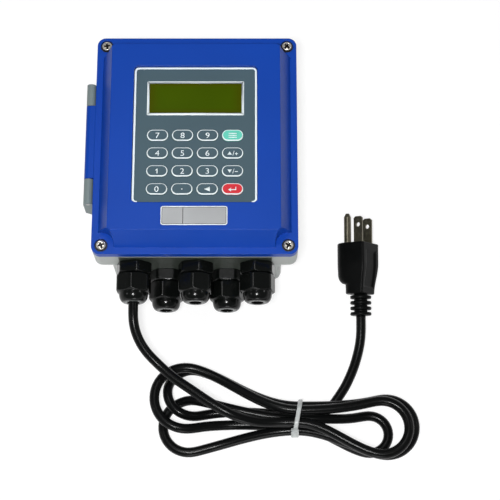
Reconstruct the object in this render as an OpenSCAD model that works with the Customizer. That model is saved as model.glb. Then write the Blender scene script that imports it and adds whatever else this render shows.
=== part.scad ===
// Wall-mount flow meter electronics case, lying on its back: hinged lid with a
// display and a keypad, five cable glands, and a mains lead folded and tied.
// Millimetres. +Z out of the front panel, +Y to the top of the meter,
// origin at the centre of the back face.

/* [Case] */
// Width of the lid and of the rim
case_w = 132; // [124:1:150]
// Length of the lid and of the rim, top to bottom of the meter
case_l = 150; // [144:1:170]
// Height of the parting plane above the back
parting_z = 58; // [56:1:70]
// How far the lower body stands in from the rim at the sides
body_in_x = 10; // [8:0.5:11]
// How far the lower body stands in from the rim at top and bottom
body_in_y = 1.5; // [1:0.1:2]
// Plan radius of the outer corners
corner_r = 5.5; // [4:0.5:7]
// Wall of the base
wall = 3; // [2.6:0.1:3.4]
// Plan radius of the corners of the hollow
hollow_r = 8; // [7:0.5:10]
// Thickness of the rim flange
rim_t = 6; // [5:0.5:8]
// Width of the corner blocks below the rim
block_w = 17; // [15:0.5:18]
// Height of the corner blocks
block_h = 18; // [15:1:20]
// Width of the seal groove
groove_w = 2.4; // [2:0.1:2.6]
// Depth of the seal groove
groove_d = 1.5; // [1:0.1:2]

/* [Lid] */
// Height of the square skirt
skirt_h = 6; // [5.5:0.5:8]
// Flat flange round the bevel
flange_w = 4.3; // [3.5:0.1:5]
// Height of the bevel
bevel_h = 16; // [14:0.5:20]
// How far the bevel runs in
bevel_run = 7; // [6:0.5:8]
// Radius of the flat cut round each screw
pad_r = 8.4; // [8:0.1:9]
// Screw distance from the side edge
screw_in_x = 6.3; // [6:0.1:7]
// Screw distance from the top and bottom edge
screw_in_y = 5.9; // [5.8:0.1:7]
// Wall between the lid's hollow and its side edge
lid_wall_x = 13; // [13:0.5:15]
// Wall between the lid's hollow and its top and bottom edge
lid_wall_y = 12.5; // [12.5:0.5:14]
// Plan radius of the lid's hollow
lid_hollow_r = 10; // [9:0.5:12]

/* [Screws] */
// Radius of the lid screw shank
screw_r = 1.9; // [1.5:0.1:2]
// Radius of the lid screw head
screw_head_r = 3.7; // [3.4:0.1:3.9]
// Height of the lid screw head
screw_head_h = 2.1; // [1.8:0.1:2.6]
// Radius of the sunk seat of the head
seat_r = 4.25; // [4.1:0.05:4.6]
// Depth of the sunk seat
seat_d = 1.5; // [1:0.1:2]
// How far the screw tip reaches below the parting plane
tip_reach = 4; // [2:0.5:4]
// Radius of the counterbore that lets the tip swing out
swing_r = 3.8; // [3.7:0.1:4]

/* [Hinge] */
// Radius of the knuckles
knuckle_r = 3; // [2.8:0.1:3.2]
// Radius of the hinge pin
pin_r = 1.25; // [1:0.05:1.5]
// Running clearance of the pin in the lid
pin_gap = 0.05; // [0.02:0.01:0.09]
// Gap between the knuckles and the lid edge
knuckle_gap = 0.3; // [0.2:0.05:0.5]
// Height of the hinge axis above the parting plane
axis_up = 2.5; // [2.4:0.1:2.6]
// Length of the lid knuckle
lid_knuckle_l = 50.4; // [40:0.2:52]
// Length of the lower base knuckle
low_knuckle_l = 17; // [12:0.5:20]
// Length of the upper base knuckle
top_knuckle_l = 15; // [12:0.5:20]
// Place of the middle of the lid knuckle along the meter
knuckle_y = 1.7; // [-5:0.1:5]
// How far the hinge lugs reach down
lug_h = 20; // [16:1:24]

/* [Keypad] */
// Distance of the sunk panel from the side edge
panel_in_x = 26; // [25:0.5:27]
// Distance of the sunk panel from the top edge
panel_in_top = 26.9; // [26:0.1:28]
// Distance of the sunk panel from the bottom edge
panel_in_low = 29.4; // [28.5:0.1:30]
// Corner radius of the panel
panel_r = 3; // [2:0.5:4]
// Depth of the panel floor below the lid top
panel_d = 4; // [3.6:0.1:4.4]
// Thickness of the lid under the panel
panel_floor_t = 2.5; // [2:0.1:3]
// Thickness of the key circuit layer
circuit_t = 0.5; // [0.4:0.1:0.6]
// Thickness of the panel overlay
overlay_t = 1; // [0.9:0.1:1.2]
// Space between two keys of a row
key_space_x = 2.45; // [2:0.05:3.5]
// Space between two rows of keys
key_space_y = 4.55; // [4:0.05:5]
// How far a key stands above the overlay
key_proud = 0.4; // [0.3:0.1:0.6]
// Travel of a key
key_travel = 0.3; // [0.2:0.05:0.35]
// Gap round a key
key_gap = 0.2; // [0.15:0.05:0.3]
// Height of a snap dome
dome_h = 0.3; // [0.2:0.05:0.35]
// Radius of a snap dome
dome_r = 2; // [1.8:0.1:2.2]

/* [Display] */
// Share of the panel's width that the display window takes
window_w_share = 0.75; // [0.7:0.01:0.8]
// Share of the panel's length that the display window takes
window_l_share = 0.2177; // [0.19:0.0001:0.23]
// Gap round the window
window_gap = 0.1; // [0.05:0.05:0.2]
// Width of the ledge that carries the window
window_ledge = 1.2; // [0.8:0.1:1.6]
// How far the display module reaches past the window above and below
module_past = 7.8; // [6:0.1:8.4]
// Thickness of the display module
module_t = 5.5; // [4.5:0.5:6]

/* [Label plate] */
// Width of the label plate
label_w = 42; // [36:1:46]
// Height of the label plate
label_h = 12.5; // [10:0.5:13]
// Thickness of the label plate
label_t = 0.5; // [0.3:0.1:0.8]

/* [Glands] */
// Number of cable glands
gland_n = 5; // [5:1:5]
// Distance of the outer glands from the end of the gland plate
gland_in = 9; // [8.5:0.1:10]
// Height of the front row of glands above the back
gland_top_z = 42; // [41:0.5:43]
// Height of the back row of glands above the back
gland_low_z = 22; // [21:0.5:23]
// Width across the flats of the gland body and nut
gland_af = 21; // [20:0.2:21.6]
// Radius of the gland threads
gland_thread_r = 8; // [7.6:0.1:8.2]
// Radius of the gland bore
gland_bore_r = 5.8; // [5:0.1:6]
// Length of the fixed hexagon
gland_hex_l = 7.5; // [7:0.5:9]
// Length of the hexagon of the cap nut
nut_hex_l = 11.6; // [11:0.2:13]
// Length of the dome of the cap nut
nut_dome_l = 6.4; // [5.6:0.2:7]
// Radius of the opening of the cap nut
nut_open_r = 4.8; // [4.5:0.1:5.2]
// Running clearance of the cap nut on its thread
nut_gap = 0.06; // [0.03:0.01:0.09]
// Thickness of the gland plate
plate_t = 3; // [2.5:0.1:3.2]
// How far the gland plate stands in from the side of the body
plate_in = 7; // [6:0.5:8]
// Thickness of a lock nut
locknut_t = 5; // [4:0.5:5]

/* [Boards] */
// Thickness of the circuit boards
board_t = 1.6; // [1.2:0.2:2]
// Space round the main board in the lid, at its sides
main_in_x = 3; // [2:0.5:5]
// Space round the main board in the lid, at its ends
main_in_y = 3.5; // [2.5:0.5:5]
// Space beside the terminal board in the base
term_in_x = 7; // [5:0.5:9]
// Space above the terminal board in the base
term_in_top = 8.5; // [7:0.5:10]
// Wiring space between the terminal board and the glands
term_in_low = 34.5; // [34:0.5:36]
// Height of the board pillars in the base
pillar_h = 6; // [5:0.5:8]
// Radius of the board pillars
pillar_r = 3.5; // [3:0.1:4]
// Radius of the board screws
board_screw_r = 1.2; // [1:0.1:1.3]
// Number of terminals
terminal_n = 16; // [12:1:16]
// Space beside the row of terminals on its board
terminal_in = 6; // [5:0.5:8]

/* [Cord] */
// Diameter of the mains cord
cord_d = 6.4; // [6:0.1:6.8]
// Width of the tie strap
tie_w = 3.6; // [3:0.2:5]
// Thickness of the tie strap
tie_t = 1.2; // [1:0.1:1.2]

/* [Plug] */
// Length of the plug blades
blade_l = 17.5; // [16:0.5:18]
// Width of the plug blades
blade_w = 6.35; // [6.2:0.05:6.5]
// Thickness of the plug blades
blade_t = 1.5; // [1.4:0.1:1.6]
// Distance between the blades
blade_pitch = 12.7; // [12.6:0.1:12.8]
// Length of the earth pin
earth_l = 21; // [19:0.5:22]
// Radius of the earth pin
earth_r = 2.4; // [2.3:0.05:2.45]
// Distance of the earth pin from the blades
earth_off = 11.9; // [11.8:0.1:12]
// Length of the front block of the plug
plug_block_l = 21; // [18:1:24]
// Length of the shoulder behind the block
plug_shoulder_l = 7; // [6:0.5:9]
// Length of the neck block behind the shoulder
plug_neck_l = 6.1; // [5:0.1:8]
// Length of the ribbed cord guard
guard_l = 14.5; // [14:0.5:18]
// Radius of the guard's ribs
rib_r = 7; // [6.4:0.1:7.4]

/* [Hidden] */
$fn = 48;
// Overrun of every cut
over = 1;
// Clearance between pieces that are fitted by hand
fit_gap = 0.2;

// Case levels and outlines
lid_z = parting_z + skirt_h;
top_z = lid_z + bevel_h;
panel_z = top_z - panel_d;
panel_w = case_w - 2 * panel_in_x;
panel_l = case_l - panel_in_top - panel_in_low;
panel_y = (panel_in_low - panel_in_top) / 2;
lid_hollow_w = case_w - 2 * lid_wall_x;
lid_hollow_l = case_l - 2 * lid_wall_y;
body_w = case_w - 2 * body_in_x;
body_l = case_l - 2 * body_in_y;
hollow_w = body_w - 2 * wall;
hollow_l = body_l - 2 * wall;
groove_in = 1;
top_w = case_w - 2 * (flange_w + bevel_run);
top_l = case_l - 2 * (flange_w + bevel_run);
screw_x = case_w / 2 - screw_in_x;
screw_y = case_l / 2 - screw_in_y;
lip_t = 1.3;
// Wall fixing holes in the back
fix_r = 2.2;
fix_in_x = 12;
fix_in_y = 10.5;
fix_x = body_w / 2 - fix_in_x;
fix_y = body_l / 2 - fix_in_y;
// Screws of the lid
tip_clear = 0.6;
pilot_r = 1.65;
pilot_l = 9;
washer_t = 0.5;
washer_gap = 0.15;
cross_w = 0.9;
cross_l = 4;
cross_d = 1.2;
shank_root = 0.5;
screw_hole_r = screw_r + fit_gap;
head_z = lid_z - seat_d + washer_t;

// Hinge
axis_x = -(case_w / 2 + knuckle_gap + knuckle_r);
axis_z = parting_z + axis_up;
knuckle_play = 0.3;
lid_knuckle_y = knuckle_y - lid_knuckle_l / 2;
top_knuckle_y = knuckle_y + lid_knuckle_l / 2 + knuckle_play;
low_knuckle_y = knuckle_y - lid_knuckle_l / 2 - knuckle_play - low_knuckle_l;
lug_foot = 6.3;
base_pin_gap = 0.02;

// Keys: pitches as shares of the panel, columns and rows
key_pitch_x_share = 0.200625;
key_pitch_y_share = 0.12967;
key_top_share = 0.01014;
key_flat = 0.05;
key_pitch_x = panel_w * key_pitch_x_share;
key_pitch_y = panel_l * key_pitch_y_share;
key_top_y = panel_y - panel_l * key_top_share;
key_w = key_pitch_x - key_space_x;
key_h = key_pitch_y - key_space_y;
key_cols = 4;
key_rest = 0.02;
key_rows = 4;
circuit_z = panel_z;
overlay_z = panel_z + circuit_t;
key_top_z = overlay_z + overlay_t + key_proud;
key_low_z = overlay_z + dome_h + key_travel + key_rest;
function key_x(i) = ((i % key_cols) - (key_cols - 1) / 2) * key_pitch_x;
function key_y(i) = key_top_y - floor(i / key_cols) * key_pitch_y;

// Display
circuit_gap = 0.3;
circuit_w = panel_w - 2 * circuit_gap;
circuit_l = panel_l - 2 * circuit_gap;
window_up_share = 0.26628;
window_w = panel_w * window_w_share;
window_h = panel_l * window_l_share;
window_y = panel_y + panel_l * window_up_share;
module_w = circuit_w;
module_h = window_h + 2 * module_past;
view_w = window_w - 2 * window_ledge;
view_h = window_h - 2 * window_ledge;
view_gap = 0.3;
main_z = panel_z - panel_floor_t - module_t - board_t;
// The label lies midway between the panel and the edge of the top face
label_y = -(top_l / 2 + case_l / 2 - panel_in_low) / 2;

// Glands
plate_pocket_d = 1.3;
wall_y = -body_l / 2 + plate_pocket_d;
plate_y = wall_y - plate_t;
plate_w = body_w - 2 * plate_in;
gland_pitch = (plate_w - 2 * gland_in) / (gland_n - 1);
gland_r = gland_af / 2 / cos(30);
inner_wall_y = -hollow_l / 2;
thread_gap = 0.2;
thread_run = 1.3;
nut_play = 0.5;
neck_short = 1.3;
neck_l = nut_hex_l - neck_short;
dome_wall = 1.6;
dome_in = 1.9;
seal_gap = 0.1;
seal_in = 4;
seal_short = 3;
seal_start = gland_hex_l + seal_in;
seal_end = gland_hex_l + nut_play + nut_hex_l + nut_dome_l - seal_short;
nut_turns = [35, 41, 37, 48, 46];
body_turns = [15, 0, 15, 0, 40];
function gland_x(i) = (i - (gland_n - 1) / 2) * gland_pitch;
function gland_z(i) = i % 2 == 0 ? gland_top_z : gland_low_z;

// Boards and what stands on them
term_w = hollow_w - 2 * term_in_x;
term_l = hollow_l - term_in_top - term_in_low;
term_y = (term_in_low - term_in_top) / 2;
terminal_pitch = (term_w - 2 * terminal_in) / terminal_n;
main_w = lid_hollow_w - 2 * main_in_x;
main_l = lid_hollow_l - 2 * main_in_y;
term_z = wall + pillar_h;
pillar_in = 5;
term_px = term_w / 2 - pillar_in;
term_py = term_l / 2 - pillar_in;
main_px = main_w / 2 - pillar_in;
main_py = main_l / 2 - pillar_in;
board_head_r = 2.6;
board_head_h = 1.8;
board_screw_l = 5;
board_hole_gap = 0.1;
block_h_term = 14;
block_l_term = 11;
block_in = pillar_in + board_head_r + fit_gap;
block_y = term_y - term_l / 2 + block_in + block_l_term / 2;
terminal_screw_r = 1.6;
terminal_screw_h = 0.8;
wire_hole = 3.2;
coil_w = 30;
coil_l = 26;
coil_h = 24;
core_w = 38;
core_l = 20;
core_h = 30;
core_x_share = 0.1957;
core_in_y = 22;
core_x = term_w * core_x_share;
core_y = term_y + term_l / 2 - core_in_y;
fuse_r = 2.6;
fuse_l = 20;
fuse_lift = 1;
clip_t = 1;
clip_h = 7.4;
cap_r = 4;
cap_h = 16;
cap_x_share = 0.304;
cap_pitch_share = 0.12;
cap_x = -term_w * cap_x_share;
cap_pitch = term_w * cap_pitch_share;
// Chips under the main board: place as shares of the board, then size
chip_shares = [[-0.22, -0.2], [0.12, -0.28], [0.2, 0.02], [-0.2, 0.22], [0.22, 0.3]];
chip_sizes = [[14, 14, 1.6], [18, 8, 2.2], [10, 10, 1.6], [24, 6, 4], [12, 10, 3]];

// Cord: place of the tie from the first gland, and levels of the bundle
tie_off_x = 106;
tie_off_y = 95.8;
waist_x = gland_x(0) + tie_off_x;
waist_y = plate_y - tie_off_y;
floor_lift = 0.1;
cord_r = cord_d / 2;
layer_gap = 1.5;
layer = cord_d + layer_gap;
low_z = cord_r + floor_lift;
mid_z = low_z + layer;
high_z = low_z + 2 * layer;
tie_gap = 0.15;
waist_low = cord_r + tie_t + tie_gap + floor_lift;
end_run = cord_d;
cord_sides = 8;
hank_sides = 6;

// Where the cord crosses the tie: sideways place and height, in turn
crossings = [
    [-layer / 2, waist_low + 2 * layer],
    [layer / 2, waist_low + 2 * layer],
    [-layer / 2, waist_low],
    [0, waist_low + layer],
    [-layer, waist_low + layer],
    [layer, waist_low + layer],
    [layer / 2, waist_low]];

// The loops in turn, right and left of the tie: reach, bend radius and sideways shift
loop_reach = [72, 93.4, 60, 88, 76.5, 85];
loop_bend = [17.5, 20.5, 12.5, 17, 18.5, 16];
loop_shift = [-7, 13.5, -9, -4, -5.5, 18];
// Levels of the first and second half of each loop
over_lift = 3;
loop_level = [[high_z, high_z], [mid_z, mid_z + over_lift], [low_z, low_z], [low_z, low_z],
    [mid_z, mid_z], [low_z, mid_z]];
// Where each loop's three changes of level start and end along it
climb_shares = [
    [[0.02, 0.2], [0.42, 0.6], [0.7, 0.98]],
    [[0.02, 0.3], [0.34, 0.48], [0.62, 0.8]],
    [[0, 0.2], [0.4, 0.6], [0.66, 0.94]],
    [[0.3, 0.41], [0.42, 0.6], [0.7, 0.98]],
    [[0, 0.2], [0.42, 0.58], [0.6, 0.9]],
    [[0, 0.25], [0.43, 0.53], [0.6, 0.69]]];
loops = [for (k = [0 : len(loop_reach) - 1])
    [k % 2 == 0 ? 1 : -1, loop_reach[k], loop_bend[k], loop_shift[k],
        loop_level[k][0], loop_level[k][1], climb_shares[k][0], climb_shares[k][1], climb_shares[k][2]]];
loop_half_angle = 105;
run_steps = 3;
arc_steps = 6;

// The lead's free stretch, from inside the first gland to the tie: place from the gland,
// then height as a share of the drop from the gland to the bundle
lead_offsets = [[0, -2.8], [0, -14.8], [0, -25.8], [0, -32.8], [0.5, -39.8], [3, -47.8],
    [8, -55.8], [16, -63.8], [26, -72.5], [38, -80.7], [50, -88.8], [63, -96], [75, -99.33],
    [84, -99.9]];
lead_shares = [1, 1, 1, 0.981, 0.906, 0.765, 0.614, 0.482, 0.445, 0.435, 0.426, 0.388, 0.209, 0.068];
lead_end_z = crossings[0][1];
lead_route = [
    for (i = [0 : len(lead_offsets) - 1])
        [gland_x(0) + lead_offsets[i][0], plate_y + lead_offsets[i][1],
            lead_end_z + (gland_top_z - lead_end_z) * lead_shares[i]],
    for (i = [2, 1])
        [waist_x - i * end_run, waist_y + crossings[0][0], lead_end_z]];
// The free stretch from the tie to the plug: place from the tie, and height
tail_offsets = [[19, 6, 4.6], [23.5, 10, 4.2], [27, 15, 4], [32.3, 23, 4.1], [37.3, 33.8, 4.6],
    [39.6, 40.5, 5.3], [41.4, 47.2, 6.4], [42.6, 53.9, 7.7], [43, 60.5, 8.97], [43, 62.5, 9.3],
    [43, 69.4, 10.45]];
tail_route = [
    for (i = [1, 2])
        [waist_x + i * end_run, waist_y + crossings[6][0], crossings[6][1]],
    for (p = tail_offsets)
        [waist_x + p[0], waist_y + p[1], p[2]]];
tail_end = tail_route[len(tail_route) - 1];

// Plug, from where the tail ends: it lies nose up, so its axis climbs
plug_pitch = 9.5;
plug_l = plug_block_l + plug_shoulder_l + plug_neck_l;
neck_off = 2;
plug_x = tail_end[0] + neck_off;
plug_face_y = tail_end[1] + (guard_l + plug_l) * cos(plug_pitch);
plug_z = tail_end[2] + (guard_l + plug_l) * sin(plug_pitch);
plug_roll = -33.5;
// Outline of the block, then of the neck: reach to the blades' side and to the earth pin's,
// half width, corner radius at the blades' side and at the pin's
block_outline = [5.9, 17.5, 11, 1.2, 9.5];
neck_outline = [3.6, 11.4, 9, 1.2, 7];
blade_hole_r = 1.5;
blade_hole_in = 5.5;
blade_root = 6;
blade_cut = 1.2;
neck_guard_r = 4.45;
rib_n = 4;
rib_t = 2.2;
rib_pitch = 3.7;

// Colours
blue = [0.13, 0.32, 0.72];
light_grey = [0.68, 0.71, 0.7];
dark_plate = [0.17, 0.2, 0.18];
black = [0.07, 0.08, 0.07];
hinge_grey = [0.5, 0.55, 0.55];
panel_grey = [0.31, 0.38, 0.41];
steel = [0.7, 0.7, 0.68];
green_board = [0.1, 0.35, 0.18];

// Outline with true round corners
module round_plan(w, l, r) {
    square([w - 2 * r, l], center = true);
    square([w, l - 2 * r], center = true);
    for (x = [-1, 1], y = [-1, 1])
        translate([x * (w / 2 - r), y * (l / 2 - r)])
            circle(r);
}

module slab(w, l, r, z, h) {
    translate([0, 0, z])
        linear_extrude(h)
            round_plan(w, l, r);
}

module at_screws() {
    for (x = [-screw_x, screw_x], y = [-screw_y, screw_y])
        translate([x, y, 0])
            children();
}

module at_hinge(y, l, r) {
    translate([axis_x, y + l, axis_z])
        rotate([90, 0, 0])
            cylinder(r = r, h = l);
}

module at_gland(i) {
    translate([gland_x(i), plate_y, gland_z(i)])
        rotate([90, 0, 0])
            children();
}

module corner_blocks() {
    intersection() {
        slab(case_w, case_l, corner_r, parting_z - block_h, block_h);
        for (x = [-1, 1], y = [-1, 1])
            translate([x * (case_w - block_w) / 2, y * (case_l - block_w) / 2, parting_z - block_h / 2])
                cube([block_w, block_w, block_h], center = true);
    }
}

module hinge_lug(y, l) {
    at_hinge(y, l, knuckle_r);
    translate([0, y + l, 0])
        rotate([90, 0, 0])
            linear_extrude(l)
                polygon([
                    [axis_x - knuckle_r, axis_z],
                    [axis_x - knuckle_r, parting_z - lug_h + lug_foot],
                    [-case_w / 2, parting_z - lug_h],
                    [-body_w / 2, parting_z - lug_h],
                    [-body_w / 2, parting_z],
                    [-case_w / 2, parting_z],
                    [axis_x, axis_z]]);
}

module base_shell() {
    color(light_grey)
        difference() {
            union() {
                slab(body_w, body_l, corner_r, 0, parting_z);
                slab(case_w, case_l, corner_r, parting_z - rim_t, rim_t);
                corner_blocks();
                hinge_lug(low_knuckle_y, low_knuckle_l);
                hinge_lug(top_knuckle_y, top_knuckle_l);
            }
            slab(hollow_w, hollow_l, hollow_r, wall, parting_z);
            difference() {
                slab(hollow_w + 2 * (groove_in + groove_w), hollow_l + 2 * (groove_in + groove_w),
                    hollow_r + groove_in + groove_w, parting_z - groove_d, groove_d + over);
                slab(hollow_w + 2 * groove_in, hollow_l + 2 * groove_in,
                    hollow_r + groove_in, parting_z - groove_d - over, groove_d + 3 * over);
            }
            at_screws() {
                translate([0, 0, parting_z - tip_reach - tip_clear])
                    cylinder(r = swing_r, h = tip_reach + tip_clear + over);
                translate([0, 0, parting_z - tip_reach - tip_clear - pilot_l])
                    cylinder(r = pilot_r, h = pilot_l + over);
            }
            at_hinge(low_knuckle_y - over, low_knuckle_l + 2 * over, pin_r + base_pin_gap);
            at_hinge(top_knuckle_y - over, top_knuckle_l + 2 * over, pin_r + base_pin_gap);
            translate([-plate_w / 2 - fit_gap, wall_y - plate_t - over, wall])
                cube([plate_w + 2 * fit_gap, plate_t + over, parting_z - lip_t - wall]);
            for (i = [0 : gland_n - 1])
                at_gland(i) {
                    translate([0, 0, -plate_t - wall - over])
                        cylinder(r = gland_thread_r + thread_gap, h = plate_t + wall + over);
                    translate([0, 0, plate_y - inner_wall_y - locknut_t - fit_gap])
                        cylinder(r = gland_r + fit_gap, h = locknut_t + fit_gap);
                }
            for (x = [-fix_x, fix_x], y = [-fix_y, fix_y])
                translate([x, y, -over])
                    cylinder(r = fix_r, h = wall + 2 * over);
        }
}

module gland_plate() {
    color(dark_plate)
        difference() {
            translate([-plate_w / 2, plate_y, wall + fit_gap])
                cube([plate_w, plate_t, parting_z - lip_t - wall - 2 * fit_gap]);
            for (i = [0 : gland_n - 1])
                at_gland(i)
                    translate([0, 0, -plate_t - over])
                        cylinder(r = gland_thread_r + thread_gap, h = plate_t + 2 * over);
        }
}

module hinge_pin() {
    color(steel)
        at_hinge(low_knuckle_y, top_knuckle_y + top_knuckle_l - low_knuckle_y, pin_r);
}

module rim_seal() {
    seal_side = 0.1;
    color([0.2, 0.2, 0.2])
        difference() {
            slab(hollow_w + 2 * (groove_in + groove_w - seal_side),
                hollow_l + 2 * (groove_in + groove_w - seal_side),
                hollow_r + groove_in + groove_w - seal_side, parting_z - groove_d, groove_d);
            slab(hollow_w + 2 * (groove_in + seal_side), hollow_l + 2 * (groove_in + seal_side),
                hollow_r + groove_in + seal_side, parting_z - groove_d - over, groove_d + 2 * over);
        }
}

module gland_bodies() {
    thread_l = plate_t + plate_pocket_d + locknut_t + thread_run;
    color(black)
        for (i = [0 : gland_n - 1])
            at_gland(i)
                difference() {
                    union() {
                        translate([0, 0, -thread_l])
                            cylinder(r = gland_thread_r, h = thread_l + gland_hex_l + neck_l);
                        rotate([0, 0, body_turns[i]])
                            cylinder(r = gland_r, h = gland_hex_l, $fn = 6);
                    }
                    translate([0, 0, -thread_l - over])
                        cylinder(r = gland_bore_r, h = thread_l + gland_hex_l + neck_l + 2 * over);
                }
}

module gland_locknuts() {
    color(black)
        for (i = [0 : gland_n - 1])
            translate([gland_x(i), inner_wall_y, gland_z(i)])
                rotate([90, 0, 0])
                    translate([0, 0, -locknut_t])
                        difference() {
                            cylinder(r = gland_r, h = locknut_t, $fn = 6);
                            translate([0, 0, -over])
                                cylinder(r = gland_thread_r + thread_gap / 2, h = locknut_t + 2 * over);
                        }
}

module gland_seals() {
    color([0.12, 0.12, 0.12])
        for (i = [0 : gland_n - 1])
            at_gland(i)
                translate([0, 0, seal_start])
                    difference() {
                        cylinder(r = gland_bore_r - seal_gap / 2, h = seal_end - seal_start);
                        translate([0, 0, -over])
                            cylinder(r = cord_r + seal_gap, h = seal_end - seal_start + 2 * over);
                    }
}

// Cap nut: hexagon, then a dome with a round opening
module gland_nut(i) {
    dome_foot = gland_r - dome_in;
    hollow_end = nut_hex_l + nut_dome_l - dome_wall;
    color(black)
        at_gland(i)
            translate([0, 0, gland_hex_l + nut_play])
                difference() {
                    union() {
                        intersection() {
                            rotate([0, 0, nut_turns[i]])
                                cylinder(r = gland_r, h = nut_hex_l, $fn = 6);
                            cylinder(r1 = gland_r + nut_hex_l, r2 = gland_r - nut_play, h = nut_hex_l);
                        }
                        translate([0, 0, nut_hex_l])
                            rotate_extrude() {
                                translate([0, -over])
                                    square([dome_foot, over]);
                                square([dome_foot - nut_dome_l, nut_dome_l]);
                                intersection() {
                                    translate([dome_foot - nut_dome_l, 0])
                                        circle(nut_dome_l);
                                    square([dome_foot, nut_dome_l]);
                                }
                            }
                    }
                    translate([0, 0, -over])
                        cylinder(r = gland_thread_r + nut_gap, h = hollow_end - dome_wall + over);
                    cylinder(r = gland_bore_r + 2 * seal_gap, h = hollow_end);
                    cylinder(r = nut_open_r, h = nut_hex_l + nut_dome_l + over);
                }
}

module board_at(w, l, z, px, py) {
    color(green_board)
        difference() {
            translate([-w / 2, -l / 2, z])
                cube([w, l, board_t]);
            for (x = [-px, px], y = [-py, py])
                translate([x, y, z - over])
                    cylinder(r = board_screw_r + board_hole_gap, h = board_t + 2 * over);
        }
}

module terminal_board() {
    translate([0, term_y, 0])
        board_at(term_w, term_l, term_z, term_px, term_py);
}

module board_pillars() {
    color(steel)
        for (x = [-term_px, term_px], y = [-term_py, term_py])
            translate([x, term_y + y, wall])
                difference() {
                    cylinder(r = pillar_r, h = pillar_h);
                    translate([0, 0, pillar_h - board_screw_l])
                        cylinder(r = board_screw_r + board_hole_gap, h = pillar_h);
                }
}

// Pan head screw, head up
module board_screw() {
    translate([0, 0, -board_screw_l])
        cylinder(r = board_screw_r, h = board_screw_l + board_head_h / 2);
    difference() {
        cylinder(r = board_head_r, h = board_head_h);
        translate([0, 0, board_head_h])
            cube([cross_l, cross_w, cross_d], center = true);
    }
}

module base_board_screws() {
    color(steel)
        for (x = [-term_px, term_px], y = [-term_py, term_py])
            translate([x, term_y + y, term_z + board_t])
                board_screw();
}

module at_terminals() {
    for (i = [0 : terminal_n - 1])
        translate([(i - (terminal_n - 1) / 2) * terminal_pitch, block_y, term_z + board_t])
            children();
}

module terminal_blocks() {
    color([0.15, 0.45, 0.25])
        difference() {
            translate([-terminal_n * terminal_pitch / 2, block_y - block_l_term / 2, term_z + board_t])
                cube([terminal_n * terminal_pitch, block_l_term, block_h_term]);
            at_terminals() {
                translate([0, -block_l_term / 2, wire_hole])
                    cube([wire_hole, wire_hole * 2, wire_hole], center = true);
                translate([0, 0, block_h_term - terminal_screw_h])
                    cylinder(r = terminal_screw_r + board_hole_gap, h = terminal_screw_h + over);
            }
        }
}

module terminal_screws() {
    color(steel)
        at_terminals()
            translate([0, 0, block_h_term - terminal_screw_h])
                difference() {
                    cylinder(r = terminal_screw_r, h = terminal_screw_h);
                    translate([0, 0, terminal_screw_h])
                        cube([2 * terminal_screw_r + over, terminal_screw_h / 2, terminal_screw_h],
                            center = true);
                }
}

module transformer_core() {
    color([0.45, 0.45, 0.46])
        translate([core_x, core_y, term_z + board_t])
            difference() {
                translate([-core_w / 2, -core_l / 2, 0])
                    cube([core_w, core_l, core_h]);
                translate([-coil_w / 2, -core_l / 2 - over, (core_h - coil_h) / 2])
                    cube([coil_w, core_l + 2 * over, coil_h]);
            }
}

module transformer_coil() {
    color([0.75, 0.65, 0.3])
        translate([core_x, core_y, term_z + board_t + core_h / 2])
            cube([coil_w, coil_l, coil_h], center = true);
}

module fuse() {
    color([0.85, 0.85, 0.8])
        translate([-core_x, core_y, term_z + board_t + fuse_r + fuse_lift])
            rotate([90, 0, 0])
                cylinder(r = fuse_r, h = fuse_l, center = true);
    color(steel)
        for (y = [-1, 1])
            translate([-core_x, core_y + y * fuse_l / 2, term_z + board_t])
                translate([-fuse_r, -clip_t / 2, 0])
                    cube([2 * fuse_r, clip_t, clip_h]);
}

module capacitors() {
    color([0.12, 0.14, 0.3])
        for (i = [-1, 0, 1])
            translate([cap_x + i * cap_pitch, core_y - core_w / 2 - cap_r, term_z + board_t])
                cylinder(r = cap_r, h = cap_h);
}

// Points of a smooth way from a to b, leaving and arriving along y
function wire_path(a, b, n) = [for (i = [0 : n])
    let (t = i / n, k = t * t * (3 - 2 * t))
    [a[0] + (b[0] - a[0]) * k, a[1] + (b[1] - a[1]) * t, a[2] + (b[2] - a[2]) * k]];

module mains_wires() {
    wire_r = 0.9;
    wire_out = 1.9;
    wire_steps = 10;
    wire_row = [2, 0, 1];
    wire_root = 1;
    sheath_in = 13.2;
    sheath_end = plate_y + sheath_in;
    start = lead_route[0];
    color(black)
        translate([start[0], start[1], start[2]])
            rotate([-90, 0, 0])
                cylinder(r = cord_r, h = sheath_end - start[1]);
    for (i = [0 : 2])
        color([[0.35, 0.2, 0.1], [0.1, 0.3, 0.7], [0.3, 0.6, 0.2]][i])
            tube(wire_path(
                [start[0] + wire_out * cos(120 * i), sheath_end - wire_root,
                    start[2] + wire_out * sin(120 * i)],
                [(wire_row[i] - (terminal_n - 1) / 2) * terminal_pitch, block_y - block_l_term / 2,
                    term_z + board_t + wire_hole],
                wire_steps), wire_r, cord_sides, [0, 1, 0], [0, 1, 0]);
}

// Lid: square skirt, bevelled top, a flat pad at each screw, a sunk panel
module lid_bevel() {
    intersection() {
        rotate([90, 0, 0])
            linear_extrude(case_l, center = true)
                polygon([
                    [-case_w / 2 + flange_w, lid_z - over],
                    [-case_w / 2 + flange_w, lid_z],
                    [-top_w / 2, top_z],
                    [top_w / 2, top_z],
                    [case_w / 2 - flange_w, lid_z],
                    [case_w / 2 - flange_w, lid_z - over]]);
        rotate([90, 0, 90])
            linear_extrude(case_w, center = true)
                polygon([
                    [-case_l / 2 + flange_w, lid_z - over],
                    [-case_l / 2 + flange_w, lid_z],
                    [-top_l / 2, top_z],
                    [top_l / 2, top_z],
                    [case_l / 2 - flange_w, lid_z],
                    [case_l / 2 - flange_w, lid_z - over]]);
    }
}

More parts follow.
